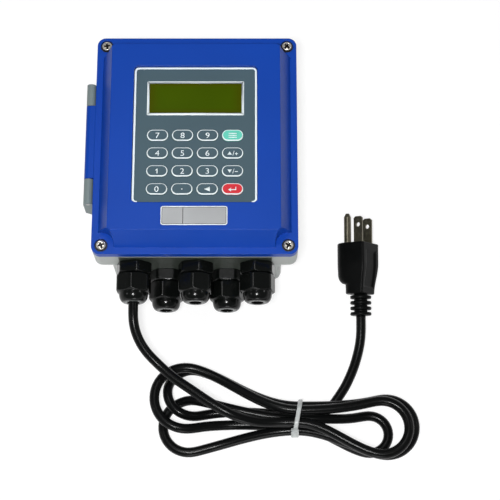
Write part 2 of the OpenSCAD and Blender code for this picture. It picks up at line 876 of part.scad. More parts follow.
module lid_shell() {
    web_gap = 0.3;
    hollow_step = 7.5;
    step_l = lid_hollow_l + hollow_step;
    boss_r = 3.5;
    boss_h = module_t;
    color(blue)
        difference() {
            union() {
                difference() {
                    union() {
                        slab(case_w, case_l, corner_r, parting_z, skirt_h);
                        lid_bevel();
                        at_hinge(lid_knuckle_y, lid_knuckle_l, knuckle_r);
                        translate([axis_x, lid_knuckle_y, parting_z + web_gap])
                            cube([-axis_x - case_w / 2 + over, lid_knuckle_l,
                                axis_up + knuckle_r - web_gap]);
                    }
                    slab(lid_hollow_w, lid_hollow_l, lid_hollow_r, parting_z - over,
                        panel_z - panel_floor_t - parting_z + over);
                    slab(lid_hollow_w, step_l, lid_hollow_r, parting_z - over, skirt_h + over);
                    translate([0, panel_y, 0])
                        slab(panel_w, panel_l, panel_r, panel_z, panel_d + over);
                    at_screws()
                        translate([0, 0, lid_z])
                            cylinder(r = pad_r, h = bevel_h + over);
                }
                for (x = [-main_px, main_px], y = [-main_py, main_py])
                    translate([x, y, main_z + board_t])
                        cylinder(r = boss_r, h = boss_h);
            }
            at_screws() {
                translate([0, 0, lid_z - seat_d])
                    cylinder(r = seat_r, h = seat_d + over);
                translate([0, 0, parting_z - over])
                    cylinder(r = screw_hole_r, h = skirt_h + over);
            }
            at_hinge(lid_knuckle_y - over, lid_knuckle_l + 2 * over, pin_r + pin_gap);
            translate([-view_w / 2 - view_gap, window_y - view_h / 2 - view_gap,
                panel_z - panel_floor_t - over])
                cube([view_w + 2 * view_gap, view_h + 2 * view_gap, panel_floor_t + 2 * over]);
            for (x = [-main_px, main_px], y = [-main_py, main_py])
                translate([x, y, main_z + board_t - over])
                    cylinder(r = board_screw_r + board_hole_gap / 2, h = boss_h);
        }
}

module lid_screws() {
    color(steel)
        at_screws()
            difference() {
                union() {
                    translate([0, 0, parting_z - tip_reach])
                        cylinder(r = screw_r, h = head_z - parting_z + tip_reach + shank_root);
                    translate([0, 0, head_z])
                        cylinder(r = screw_head_r, h = screw_head_h);
                }
                translate([0, 0, head_z + screw_head_h])
                    for (a = [0, 90])
                        rotate([0, 0, a])
                            cube([cross_l, cross_w, 2 * cross_d], center = true);
            }
}

module screw_washers() {
    color([0.1, 0.1, 0.11])
        at_screws()
            translate([0, 0, lid_z - seat_d])
                difference() {
                    cylinder(r = seat_r - washer_gap, h = washer_t);
                    translate([0, 0, -over])
                        cylinder(r = screw_r + washer_gap, h = washer_t + 2 * over);
                }
}

module key_plan(grow) {
    w = key_w + 2 * grow;
    h = key_h + 2 * grow;
    round_plan(w, h, h / 2 - key_flat);
}

module panel_overlay() {
    edge_gap = 0.15;
    color(panel_grey)
        difference() {
            translate([0, panel_y, 0])
                slab(panel_w - 2 * edge_gap, panel_l - 2 * edge_gap, panel_r, overlay_z, overlay_t);
            translate([-window_w / 2 - window_gap, window_y - window_h / 2 - window_gap,
                overlay_z - over])
                cube([window_w + 2 * window_gap, window_h + 2 * window_gap, overlay_t + 2 * over]);
            for (i = [0 : key_cols * key_rows - 1])
                translate([key_x(i), key_y(i), overlay_z - over])
                    linear_extrude(overlay_t + 2 * over)
                        key_plan(key_gap);
        }
}

module key_circuit() {
    color([0.2, 0.4, 0.3])
        difference() {
            translate([0, panel_y, 0])
                slab(circuit_w, circuit_l, panel_r, circuit_z, circuit_t);
            translate([-view_w / 2, window_y - view_h / 2, circuit_z - over])
                cube([view_w, view_h, circuit_t + 2 * over]);
        }
}

module snap_domes() {
    color(steel)
        for (i = [0 : key_cols * key_rows - 1])
            translate([key_x(i), key_y(i), overlay_z])
                cylinder(r = dome_r, h = dome_h);
}

module key_cap(i) {
    green = [0.4, 0.85, 0.75];
    red = [0.88, 0.16, 0.23];
    color(i == 3 ? green : i == 15 ? red : panel_grey)
        translate([key_x(i), key_y(i), key_low_z])
            linear_extrude(key_top_z - key_low_z)
                key_plan(0);
}

module display_window() {
    color([0.3, 0.36, 0.1])
        translate([-window_w / 2, window_y - window_h / 2, overlay_z])
            cube([window_w, window_h, overlay_t - window_gap]);
}

module display_module() {
    color([0.35, 0.4, 0.12])
        union() {
            translate([-module_w / 2, window_y - module_h / 2, main_z + board_t])
                cube([module_w, module_h, module_t]);
            translate([-view_w / 2 + view_gap, window_y - view_h / 2 + view_gap,
                main_z + board_t + module_t - over])
                cube([view_w - 2 * view_gap, view_h - 2 * view_gap,
                    panel_floor_t + circuit_t + over - fit_gap]);
        }
}

module main_board() {
    board_at(main_w, main_l, main_z, main_px, main_py);
}

module main_board_chips() {
    color(black)
        for (i = [0 : len(chip_sizes) - 1])
            translate([chip_shares[i][0] * main_w - chip_sizes[i][0] / 2,
                chip_shares[i][1] * main_l - chip_sizes[i][1] / 2, main_z - chip_sizes[i][2]])
                cube(chip_sizes[i]);
}

module main_board_screws() {
    color(steel)
        for (x = [-main_px, main_px], y = [-main_py, main_py])
            translate([x, y, main_z])
                rotate([180, 0, 0])
                    board_screw();
}

module label_plate() {
    label_r = 1.5;
    color([0.78, 0.79, 0.8])
        translate([0, label_y, 0])
            slab(label_w, label_h, label_r, top_z, label_t);
}

// Sweeping a round tube along points
function unit(v) = v / norm(v);
function heading(p, i, first, last) =
    i == 0 ? first : i == len(p) - 1 ? last : unit(unit(p[i + 1] - p[i]) + unit(p[i] - p[i - 1]));
function tube_ring(c, t, r, n) =
    let (side = unit(cross(t, [0, 0, 1])), up = cross(side, t))
    [for (j = [0 : n - 1]) c + r * (cos(360 * j / n) * side + sin(360 * j / n) * up)];
function tube_points(p, r, n, first, last) =
    [for (i = [0 : len(p) - 1]) each tube_ring(p[i], heading(p, i, first, last), r, n)];
function tube_faces(m, n) = [
    for (j = [1 : n - 2]) [0, j + 1, j],
    for (j = [1 : n - 2]) [(m - 1) * n, (m - 1) * n + j, (m - 1) * n + j + 1],
    for (i = [0 : m - 2], j = [0 : n - 1])
        each [[i * n + j, i * n + (j + 1) % n, (i + 1) * n + j],
            [i * n + (j + 1) % n, (i + 1) * n + (j + 1) % n, (i + 1) * n + j]]];

module tube(p, r, n, first, last) {
    polyhedron(tube_points(p, r, n, first, last), tube_faces(len(p), n));
}

// One loop: out from the tie, round its end and back
function smooth(t) = let (u = min(1, max(0, t))) u * u * (3 - 2 * u);
function climb(s, span_share) = smooth((s - span_share[0]) / (span_share[1] - span_share[0]));
function curve(p0, m0, p1, m1, t) =
    (2 * t ^ 3 - 3 * t ^ 2 + 1) * p0 + (t ^ 3 - 2 * t ^ 2 + t) * m0
    + (3 * t ^ 2 - 2 * t ^ 3) * p1 + (t ^ 3 - t ^ 2) * m1;
function end_point(l, t) =
    let (a = (2 * t - 1) * loop_half_angle)
    [waist_x + l[0] * (l[1] - l[2] + l[2] * cos(a)), waist_y + l[3] + l[0] * l[2] * sin(a)];
function end_heading(l, t) =
    let (a = (2 * t - 1) * loop_half_angle) l[0] * [-sin(a), cos(a)];
function loop_plan(l, from, to) =
    let (a = [waist_x, waist_y + from[0]], b = [waist_x, waist_y + to[0]],
        pa = end_point(l, 0), pb = end_point(l, 1), da = norm(pa - a), db = norm(pb - b))
    [for (i = [0 : run_steps - 1])
        curve(a, [l[0] * da, 0], pa, end_heading(l, 0) * da, i / run_steps),
     for (i = [0 : arc_steps]) end_point(l, i / arc_steps),
     for (i = [1 : run_steps])
        curve(pb, end_heading(l, 1) * db, b, [-l[0] * db, 0], i / run_steps)];
function loop_share(l, from, to, i) =
    let (da = norm(end_point(l, 0) - [waist_x, waist_y + from[0]]),
        db = norm(end_point(l, 1) - [waist_x, waist_y + to[0]]),
        arc = l[2] * 2 * loop_half_angle * PI / 180, all = da + arc + db)
    i < run_steps ? i / run_steps * da / all
    : i <= run_steps + arc_steps ? (da + arc * (i - run_steps) / arc_steps) / all
    : (da + arc + db * (i - run_steps - arc_steps) / run_steps) / all;
function loop_points(l, from, to) =
    let (plan = loop_plan(l, from, to))
    [for (i = [0 : len(plan) - 1])
        let (s = loop_share(l, from, to, i))
        [plan[i][0], plan[i][1], from[1] + (l[4] - from[1]) * climb(s, l[6])
            + (l[5] - l[4]) * climb(s, l[7]) + (to[1] - l[5]) * climb(s, l[8])]];

hank_path = [
    [waist_x - end_run, waist_y + crossings[0][0], crossings[0][1]],
    for (k = [0 : len(loops) - 1])
        let (p = loop_points(loops[k], crossings[k], crossings[k + 1]))
        for (i = [0 : len(p) - (k == len(loops) - 1 ? 1 : 2)]) p[i],
    [waist_x + end_run, waist_y + crossings[len(loops)][0], crossings[len(loops)][1]]];

// Least gap of the hank to itself, on points a third of a step apart
gap_parts = 3;
fine_path = [for (i = [0 : len(hank_path) - 2], k = [0 : gap_parts - 1])
    hank_path[i] + (hank_path[i + 1] - hank_path[i]) * k / gap_parts];
gap_skip = 4 * gap_parts;
function hank_gap() = min([for (i = [0 : len(fine_path) - gap_skip - 1])
    min([for (j = [i + gap_skip : len(fine_path) - 1]) norm(fine_path[i] - fine_path[j])])]) - cord_d;

module cord_lead() {
    color(black)
        tube(lead_route, cord_r, cord_sides, [0, -1, 0], [1, 0, 0]);
}

module cord_hank() {
    echo(hank_least_gap = hank_gap());
    color(black)
        tube(hank_path, cord_r, hank_sides, [1, 0, 0], [1, 0, 0]);
}

module cord_tail() {
    color(black)
        tube(tail_route, cord_r, cord_sides, [1, 0, 0], [0, cos(plug_pitch), sin(plug_pitch)]);
}

// Strap round the bundle, with its head on the near upper side
module cable_tie() {
    head_l = 6;
    head_w = 5.4;
    head_t = 4;
    from = crossings[0];
    to = crossings[4];
    lean = atan2(from[0] - to[0], from[1] - to[1]);
    out = [-cos(lean), sin(lean)];
    color([0.88, 0.9, 0.9])
        translate([waist_x, waist_y, 0]) {
            rotate([90, 0, 90])
                translate([0, 0, -tie_w / 2])
                    linear_extrude(tie_w)
                        difference() {
                            tie_outline(cord_r + tie_gap + tie_t);
                            tie_outline(cord_r + tie_gap);
                        }
            translate([0, (from[0] + to[0]) / 2 + out[0] * (cord_r + tie_gap + head_t / 2),
                (from[1] + to[1]) / 2 + out[1] * (cord_r + tie_gap + head_t / 2)])
                rotate([-lean, 0, 0])
                    cube([head_w, head_t, head_l], center = true);
        }
}

module tie_outline(r) {
    hull()
        for (c = crossings)
            translate(c)
                circle(r, $fn = 32);
}

module at_plug(off = 0) {
    translate([plug_x - off, plug_face_y, plug_z])
        rotate([plug_pitch - 90, 0, 0])
            rotate([0, 0, plug_roll])
                children();
}

module plug_plan(o) {
    w = o[0] + o[1];
    translate([(o[0] - o[1]) / 2, 0])
        round_plan(w, 2 * o[2], o[4]);
    translate([o[0] - w / 4, 0])
        round_plan(w / 2, 2 * o[2], o[3]);
}

module plug_body() {
    skin = 0.1;
    color(black)
        at_plug()
            difference() {
                union() {
                    translate([0, 0, -plug_block_l])
                        linear_extrude(plug_block_l)
                            plug_plan(block_outline);
                    hull() {
                        translate([0, 0, -plug_block_l])
                            linear_extrude(skin)
                                plug_plan(block_outline, $fn = 32);
                        translate([0, 0, -plug_block_l - plug_shoulder_l])
                            linear_extrude(skin)
                                plug_plan(neck_outline, $fn = 32);
                    }
                    translate([0, 0, -plug_l])
                        linear_extrude(plug_neck_l + skin)
                            plug_plan(neck_outline);
                }
                for (y = [-1, 1])
                    translate([0, y * blade_pitch / 2, 0])
                        cube([blade_w, blade_t, 2 * blade_root], center = true);
                translate([-earth_off, 0, -blade_root])
                    cylinder(r = earth_r, h = blade_root + over);
            }
}

module plug_guard() {
    color(black)
        at_plug(neck_off)
            translate([0, 0, -plug_l - guard_l]) {
                cylinder(r = neck_guard_r, h = guard_l);
                for (i = [0 : rib_n - 1])
                    translate([0, 0, i * rib_pitch])
                        cylinder(r = rib_r, h = rib_t);
            }
}

module plug_blades() {
    color([0.62, 0.58, 0.5])
        at_plug()
            for (y = [-1, 1])
                difference() {
                    translate([0, y * blade_pitch / 2, 0])
                        rotate([90, 0, 0])
                            linear_extrude(blade_t, center = true)
                                polygon([
                                    [-blade_w / 2, -blade_root],
                                    [blade_w / 2, -blade_root],
                                    [blade_w / 2, blade_l - blade_cut],
                                    [blade_w / 2 - blade_cut, blade_l],
                                    [blade_cut - blade_w / 2, blade_l],
                                    [-blade_w / 2, blade_l - blade_cut]]);
                    translate([0, y * blade_pitch / 2, blade_l - blade_hole_in])
                        rotate([90, 0, 0])
                            cylinder(r = blade_hole_r, h = 2 * blade_t, center = true);
                }
}

module plug_earth_pin() {
    tip_share = 0.5;
    color([0.62, 0.58, 0.5])
        at_plug()
            translate([-earth_off, 0, 0]) {
                translate([0, 0, -blade_root])
                    cylinder(r = earth_r, h = earth_l - earth_r + blade_root);
                translate([0, 0, earth_l - earth_r])
                    cylinder(r1 = earth_r, r2 = earth_r * tip_share, h = earth_r);
            }
}

base_shell();
gland_plate();
hinge_pin();
rim_seal();
gland_bodies();
gland_locknuts();
gland_seals();
terminal_board();
board_pillars();
base_board_screws();
terminal_blocks();
terminal_screws();
transformer_core();
transformer_coil();
fuse();
capacitors();
mains_wires();
lid_shell();
lid_screws();
screw_washers();
panel_overlay();
key_circuit();
snap_domes();
display_window();
display_module();
main_board();
main_board_chips();
main_board_screws();
label_plate();
key_cap(0);  // key_7
key_cap(1);  // key_8
key_cap(2);  // key_9
key_cap(3);  // key_menu
key_cap(4);  // key_4
key_cap(5);  // key_5
key_cap(6);  // key_6
key_cap(7);  // key_up
key_cap(8);  // key_1
key_cap(9);  // key_2
key_cap(10);  // key_3
key_cap(11);  // key_down
key_cap(12);  // key_0
key_cap(13);  // key_dot
key_cap(14);  // key_left
key_cap(15);  // key_enter
gland_nut(0);  // gland_nut_1
gland_nut(1);  // gland_nut_2
gland_nut(2);  // gland_nut_3
gland_nut(3);  // gland_nut_4
gland_nut(4);  // gland_nut_5
cord_lead();
cord_hank();
cord_tail();
cable_tie();
plug_body();
plug_guard();
plug_blades();
plug_earth_pin();
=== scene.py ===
import bpy
import bmesh
import math
from mathutils import Matrix, Vector


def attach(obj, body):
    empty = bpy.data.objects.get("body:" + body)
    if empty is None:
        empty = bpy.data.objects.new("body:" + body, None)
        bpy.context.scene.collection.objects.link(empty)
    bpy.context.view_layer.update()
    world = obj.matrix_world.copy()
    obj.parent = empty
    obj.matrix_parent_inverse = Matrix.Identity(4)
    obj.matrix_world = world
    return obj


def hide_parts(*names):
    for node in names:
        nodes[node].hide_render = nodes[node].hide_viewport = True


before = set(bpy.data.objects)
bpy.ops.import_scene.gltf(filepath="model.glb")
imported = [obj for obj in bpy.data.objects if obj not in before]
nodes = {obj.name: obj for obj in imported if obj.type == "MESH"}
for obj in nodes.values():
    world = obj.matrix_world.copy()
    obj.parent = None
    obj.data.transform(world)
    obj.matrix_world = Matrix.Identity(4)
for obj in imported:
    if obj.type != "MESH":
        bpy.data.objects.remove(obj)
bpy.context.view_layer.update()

scene = bpy.context.scene
mm = 0.001


# Camera, as the meter was photographed: nearly from above, a little from its lower end
cameraSetup = {"place": (0.0352, -0.3363, 0.9275), "tilt": 17.0, "lens": 102.3, "sensor": 36.0,
               "near": 0.05, "far": 20.0}

cameraData = bpy.data.cameras.new("photoCamera")
cameraData.lens = cameraSetup["lens"]
cameraData.sensor_width = cameraSetup["sensor"]
cameraData.clip_start = cameraSetup["near"]
cameraData.clip_end = cameraSetup["far"]
camera = bpy.data.objects.new("photoCamera", cameraData)
camera.location = cameraSetup["place"]
camera.rotation_euler = (math.radians(cameraSetup["tilt"]), 0, 0)
scene.collection.objects.link(camera)
scene.camera = camera
scene.view_settings.view_transform = "Standard"
print("stage: camera")


# Helpers for meshes; lengths are millimetres until a point becomes a vertex
mergeDistance = 1e-7  # metres


def linkMesh(name, mesh):
    obj = bpy.data.objects.new(name, mesh)
    scene.collection.objects.link(obj)
    return obj


def smoothFaces(mesh, smooth=True):
    for p in mesh.polygons:
        p.use_smooth = smooth
    return mesh


def bmToMesh(name, bm):
    mesh = bpy.data.meshes.new(name)
    bm.to_mesh(mesh)
    bm.free()
    return mesh


def meshFromBm(name, bm, smooth=True):
    bmesh.ops.remove_doubles(bm, verts=bm.verts, dist=mergeDistance)
    bmesh.ops.recalc_face_normals(bm, faces=bm.faces)
    return smoothFaces(bmToMesh(name, bm), smooth)


def meshFromRings(name, rings, loop=False, closed=True, smooth=True):
    # faces from ring to ring; a loop joins the last ring to the first, and open ends are capped
    bm = bmesh.new()
    made = [[bm.verts.new(p) for p in ring] for ring in rings]
    n = len(made[0])
    for a, b in zip(made, made[1:] + made[:1] if loop else made[1:]):
        for i in range(n if closed else n - 1):
            j = (i + 1) % n
            bm.faces.new((a[i], a[j], b[j], b[i]))
    if not loop:
        bm.faces.new(made[0])
        bm.faces.new(made[-1])
    if not closed:
        bm.faces.new([ring[0] for ring in made])
        bm.faces.new([ring[-1] for ring in made])
    return meshFromBm(name, bm, smooth)


def applyModifiers(obj):
    evaluated = obj.evaluated_get(bpy.context.evaluated_depsgraph_get())
    made = bpy.data.meshes.new_from_object(evaluated)
    obj.modifiers.clear()
    obj.data = made
    return obj


def fullTurn(count):
    return [2 * math.pi * k / count for k in range(count)]


def unitCircle(count):
    return [(math.cos(a), math.sin(a)) for a in fullTurn(count)]


def arc(x, y, r, start, steps):
    # a quarter turn about a point
    angles = [math.radians(start + 90 * i / steps) for i in range(steps + 1)]
    return [Vector((x + r * math.cos(a), y + r * math.sin(a))) for a in angles]


def pill(w, h, r, steps=14, x=0.0, y=0.0):
    # a rectangle with round corners, counter-clockwise from its right upper corner
    r = min(r, w / 2, h / 2)
    dx, dy = w / 2 - r, h / 2 - r
    return (arc(x + dx, y + dy, r, 0, steps) + arc(x - dx, y + dy, r, 90, steps)
            + arc(x - dx, y - dy, r, 180, steps) + arc(x + dx, y - dy, r, 270, steps))


# The cord's route, point for point as the solids have it, in millimetres
cordRoute = {
    "diameter": 6.4,
    "sides": 20,
    "lead": [(-40, -78, 42), (-40, -90, 42), (-40, -101, 42), (-40, -108, 41.59), (-39.5, -115, 39.97),
             (-37, -123, 36.94), (-32, -131, 33.68), (-24, -139, 30.84), (-14, -147.7, 30.04),
             (-2, -155.9, 29.82), (10, -164, 29.63), (23, -171.2, 28.81), (35, -174.53, 24.95),
             (44, -175.1, 21.92), (53.2, -174.95, 20.45), (59.6, -174.95, 20.45)],
    "tail": [(72.4, -167.05, 4.65), (78.8, -167.05, 4.65), (85, -165, 4.6), (89.5, -161, 4.2), (93, -156, 4),
             (98.3, -148, 4.1), (103.3, -137.2, 4.6), (105.6, -130.5, 5.3), (107.4, -123.8, 6.4),
             (108.6, -117.1, 7.7), (109, -110.5, 8.97), (109, -108.5, 9.3), (109, -101.6, 10.45)],
    "waist": (66, -171),  # where the tie sits
    "layer": 7.9,
    "low": 3.3,
    "waistLow": 4.65,
    "overLift": 3,
    "reach": [72, 93.4, 60, 88, 76.5, 85],  # one value for each fold, right and left by turns
    "bend": [17.5, 20.5, 12.5, 17, 18.5, 16],
    "shift": [-7, 13.5, -9, -4, -5.5, 18],
    "climbs": [
        [(0.02, 0.2), (0.42, 0.6), (0.7, 0.98)],
        [(0.02, 0.3), (0.34, 0.48), (0.62, 0.8)],
        [(0, 0.2), (0.4, 0.6), (0.66, 0.94)],
        [(0.3, 0.41), (0.42, 0.6), (0.7, 0.98)],
        [(0, 0.2), (0.42, 0.58), (0.6, 0.9)],
        [(0, 0.25), (0.43, 0.53), (0.6, 0.69)]],
    "halfAngle": 105,
    "runSteps": 12,
    "arcSteps": 20,
    "routeSteps": 6,
    "spacing": 2.2,
    "easing": 3,
    "uvPerMetre": 10,
}


def smoothStep(t):
    t = max(0.0, min(1.0, t))
    return t * t * (3 - 2 * t)


def climb(s, span):
    return smoothStep((s - span[0]) / (span[1] - span[0]))


def smoothRoute(points, parts):
    # a Catmull-Rom line through the points
    p = [Vector(q) for q in points]
    p = [2 * p[0] - p[1]] + p + [2 * p[-1] - p[-2]]
    made = []
    for i in range(1, len(p) - 2):
        a, b, c, d = p[i - 1:i + 3]
        for t in [k / parts for k in range(parts)]:
            made.append(0.5 * (2 * b + (c - a) * t + (2 * a - 5 * b + 4 * c - d) * t * t
                               + (3 * b - a - 3 * c + d) * t ** 3))
    made.append(p[-2])
    return made


def waistPlaces(r):
    # where the cord passes the tie, across and up, from the lead to the tail
    g, low = r["layer"], r["waistLow"]
    return [(-g / 2, low + 2 * g), (g / 2, low + 2 * g), (-g / 2, low), (0, low + g),
            (-g, low + g), (g, low + g), (g / 2, low)]


def hankLoop(r, k, start, end, levels):
    # one fold: out from the tie, round its bend and back, rising and falling between the levels
    side = 1 if k % 2 == 0 else -1
    reach, bend, shift = r["reach"][k], r["bend"][k], r["shift"][k]
    half = math.radians(r["halfAngle"])
    wx, wy = r["waist"]
    centre = Vector((wx + side * (reach - bend), wy + shift))

    def bendPoint(t):
        a = (2 * t - 1) * half
        return (centre + bend * Vector((side * math.cos(a), side * math.sin(a))),
                side * Vector((-math.sin(a), math.cos(a))))

    def run(p0, m0, p1, m1, t):
        return ((2 * t ** 3 - 3 * t * t + 1) * p0 + (t ** 3 - 2 * t * t + t) * m0
                + (3 * t * t - 2 * t ** 3) * p1 + (t ** 3 - t * t) * m1)

    a, b = Vector((wx, wy + start[0])), Vector((wx, wy + end[0]))
    (pa, ta), (pb, tb) = bendPoint(0), bendPoint(1)
    da, db = (pa - a).length, (pb - b).length
    bendLength = bend * 2 * half
    whole = da + bendLength + db
    n, m = r["runSteps"], r["arcSteps"]
    plan = [(run(a, Vector((side * da, 0)), pa, ta * da, i / n), i / n * da / whole) for i in range(n)]
    plan += [(bendPoint(i / m)[0], (da + bendLength * i / m) / whole) for i in range(m + 1)]
    plan += [(run(pb, tb * db, b, Vector((-side * db, 0)), i / n), (da + bendLength + db * i / n) / whole)
             for i in range(1, n + 1)]
    first, over, last = r["climbs"][k]
    return [Vector((q.x, q.y, start[1] + (levels[0] - start[1]) * climb(s, first)
                    + (levels[1] - levels[0]) * climb(s, over) + (end[1] - levels[1]) * climb(s, last)))
            for q, s in plan]


def wholeCord(r):
    places = waistPlaces(r)
    low, middle, high = [r["low"] + k * r["layer"] for k in range(3)]
    levels = [(high, high), (middle, middle + r["overLift"]), (low, low), (low, low), (middle, middle),
              (low, middle)]
    points = smoothRoute(r["lead"], r["routeSteps"])
    for k, level in enumerate(levels):
        points += hankLoop(r, k, places[k], places[k + 1], level)[min(k, 1):]
    points += smoothRoute(r["tail"], r["routeSteps"])
    # even spacing, then eased a little so that the joins don't kink
    even, gone, step = [points[0]], 0.0, r["spacing"]
    for a, b in zip(points, points[1:]):
        d = (b - a).length
        while gone + d >= step:
            a = a.lerp(b, (step - gone) / d)
            even.append(a.copy())
            d = (b - a).length
            gone = 0.0
        gone += d
    even.append(points[-1])
    for _ in range(r["easing"]):
        eased = [(a + 2 * b + c) / 4 for a, b, c in zip(even, even[1:], even[2:])]
        even = [even[0]] + eased + [even[-1]]
    return [q * mm for q in even]


def sweepTube(name, path, radius, sides, uvPerMetre):
    # rings carried along the path without twist, with a UV that runs along and round
    bm = bmesh.new()
    uv = bm.loops.layers.uv.new("alongRound")
    heading = [(path[min(i + 1, len(path) - 1)] - path[max(i - 1, 0)]).normalized() for i in range(len(path))]
    side = heading[0].cross(Vector((0, 0, 1))).normalized()
    rings, lengths, gone = [], [], 0.0
    for i, p in enumerate(path):
        if i:
            gone += (p - path[i - 1]).length
        side = (side - heading[i] * side.dot(heading[i])).normalized()
        up = side.cross(heading[i])
        rings.append([bm.verts.new(p + radius * (x * side + y * up)) for x, y in unitCircle(sides)])
        lengths.append(gone)
    for i in range(len(path) - 1):
        for j in range(sides):
            corners = ((i, j), (i, j + 1), (i + 1, j + 1), (i + 1, j))
            f = bm.faces.new([rings[a][b % sides] for a, b in corners])
            for loop, (a, b) in zip(f.loops, corners):
                loop[uv].uv = (lengths[a] * uvPerMetre, b / sides)
    bm.faces.new(rings[0])
    bm.faces.new(rings[-1])
    bmesh.ops.recalc_face_normals(bm, faces=bm.faces)
    return linkMesh(name, smoothFaces(bmToMesh(name, bm))), gone


cordPath = wholeCord(cordRoute)
mainsCord, cordLength = sweepTube("mainsCord", cordPath, cordRoute["diameter"] / 2 * mm, cordRoute["sides"],
                                  cordRoute["uvPerMetre"])
print("stage: cord, %.3f m" % cordLength)


# Materials
def feed(socket, value):
    # another node's output is linked, anything else becomes the socket's own value
    if isinstance(value, bpy.types.NodeSocket):
        socket.id_data.links.new(value, socket)
    else:
        socket.default_value = value


def setInputs(node, **values):
    # each value goes to the input of that name, with _ for a space, or else to the node's own setting
    for key, value in values.items():
        socket = node.inputs.get(key.replace("_", " "))
        if socket is None:
            setattr(node, key, value)
        else:
            feed(socket, value)
    return node


def addNode(tree, kind, **values):
    return setInputs(tree.nodes.new(kind), **values)


def makeGrainGroup():
    # fine moulded grain: a height for the bump, and masks that break up colour and gloss
    g = bpy.data.node_groups.new("mouldedGrain", "ShaderNodeTree")
    g.interface.new_socket("Vector", in_out="INPUT", socket_type="NodeSocketVector")
    for name in ("Grain Scale", "Patch Scale"):
        g.interface.new_socket(name, in_out="INPUT", socket_type="NodeSocketFloat")
    for name in ("Height", "Patches", "Speckle"):
        g.interface.new_socket(name, in_out="OUTPUT", socket_type="NodeSocketFloat")
    i, o = addNode(g, "NodeGroupInput").outputs, addNode(g, "NodeGroupOutput")
    where = i["Vector"]
    fine = addNode(g, "ShaderNodeTexNoise", Vector=where, Scale=i["Grain Scale"], Detail=3.0, Roughness=0.6)
    broad = addNode(g, "ShaderNodeTexNoise", Vector=where, Scale=i["Patch Scale"], Detail=2.0, Roughness=0.5)
    pores = addNode(g, "ShaderNodeTexVoronoi", Vector=where, Scale=i["Grain Scale"])
    setInputs(o, Height=fine.outputs["Fac"], Patches=broad.outputs["Fac"], Speckle=pores.outputs["Distance"])
    return g


grainGroup = makeGrainGroup()


def startMaterial(name, **values):
    # the material, its tree, and its shader, already linked to the output
    m = bpy.data.materials.new(name)
    m.use_nodes = True
    t = m.node_tree
    t.nodes.clear()
    skin = addNode(t, "ShaderNodeBsdfPrincipled", **values)
    addNode(t, "ShaderNodeOutputMaterial", Surface=skin.outputs["BSDF"])
    return m, t, skin


def placeOn(t):
    return addNode(t, "ShaderNodeTexCoord").outputs["Object"]


def addGrain(t, where, grain, patch):
    n = addNode(t, "ShaderNodeGroup", node_tree=grainGroup, Vector=where, Grain_Scale=grain, Patch_Scale=patch)
    return n.outputs


def mixColour(t, fac, a, b):
    n = addNode(t, "ShaderNodeMix", data_type="RGBA")
    feed(n.inputs[0], fac)
    for socket, value in ((6, a), (7, b)):
        feed(n.inputs[socket], (*value, 1) if isinstance(value, tuple) else value)
    return n.outputs[2]


def mapRange(t, value, low, high, toLow=0.0, toHigh=1.0):
    n = addNode(t, "ShaderNodeMapRange", Value=value, From_Min=low, From_Max=high, To_Min=toLow, To_Max=toHigh)
    return n.outputs["Result"]


def maths(t, operation, *values):
    n = addNode(t, "ShaderNodeMath", operation=operation)
    for socket, value in zip(n.inputs, values):
        feed(socket, value)
    return n.outputs["Value"]


def addBump(t, height, strength, depth, normal=None):
    n = addNode(t, "ShaderNodeBump", Height=height, Strength=strength, Distance=depth * mm)
    if normal:
        feed(n.inputs["Normal"], normal)
    return n.outputs["Normal"]


def stretchedNoise(t, where, stretch):
    place = addNode(t, "ShaderNodeMapping", Vector=where, Scale=stretch).outputs["Vector"]
    return addNode(t, "ShaderNodeTexNoise", Vector=place, Scale=1.0, Detail=3.0).outputs["Fac"]


def linear(r, g, b):
    return tuple((c / 255 / 12.92) if c <= 10 else ((c / 255 + 0.055) / 1.055) ** 2.4 for c in (r, g, b))


def drifting(t, patches, span, colour, darker, lighter):
    # a colour between two shades of itself, by the patches of the grain
    shades = [tuple(min(1.0, c * f) for c in linear(*colour)) for f in (darker, lighter)]
    return mixColour(t, mapRange(t, patches, *span), *shades)


grainSetup = {"depth": 0.02, "patches": (0.3, 0.7), "gloss": (-0.05, 0.07), "zoneBlend": 0.3, "edgeSamples": 6}


def mouldedMaterial(name, colour, gloss=0.35, grain=1500, patch=25, bump=0.06, edge=0.4, vary=0.1,
                    specular=0.5, metal=0.0, zone=None):
    # a moulded or plated surface: colour drifts a little, gloss follows, edges are rounded by the bevel node
    s = grainSetup
    m, t, skin = startMaterial(name, Metallic=metal, Specular_IOR_Level=specular)
    where = placeOn(t)
    grains = addGrain(t, where, grain, patch)
    base = drifting(t, grains["Patches"], s["patches"], colour, 1 - vary, 1 + vary)
    if zone:
        # another colour on the low side of a plane: a darker grey on the hinge knuckles, painted shade in a screw's
        # cross, a painted reflection on the gland nuts' mouths
        axis, at, other = zone
        split = addNode(t, "ShaderNodeSeparateXYZ", Vector=where)
        low = mapRange(t, split.outputs[axis], at * mm, (at + s["zoneBlend"]) * mm, 1.0, 0.0)
        base = mixColour(t, low, base, linear(*other))
    rough = mapRange(t, grains["Speckle"], 0.0, 1.0, *[gloss + g for g in s["gloss"]])
    rounded = None
    if edge:
        rounded = addNode(t, "ShaderNodeBevel", samples=s["edgeSamples"], Radius=edge * mm).outputs["Normal"]
    setInputs(skin, Base_Color=base, Roughness=rough, Normal=addBump(t, grains["Height"], bump, s["depth"], rounded))
    return m


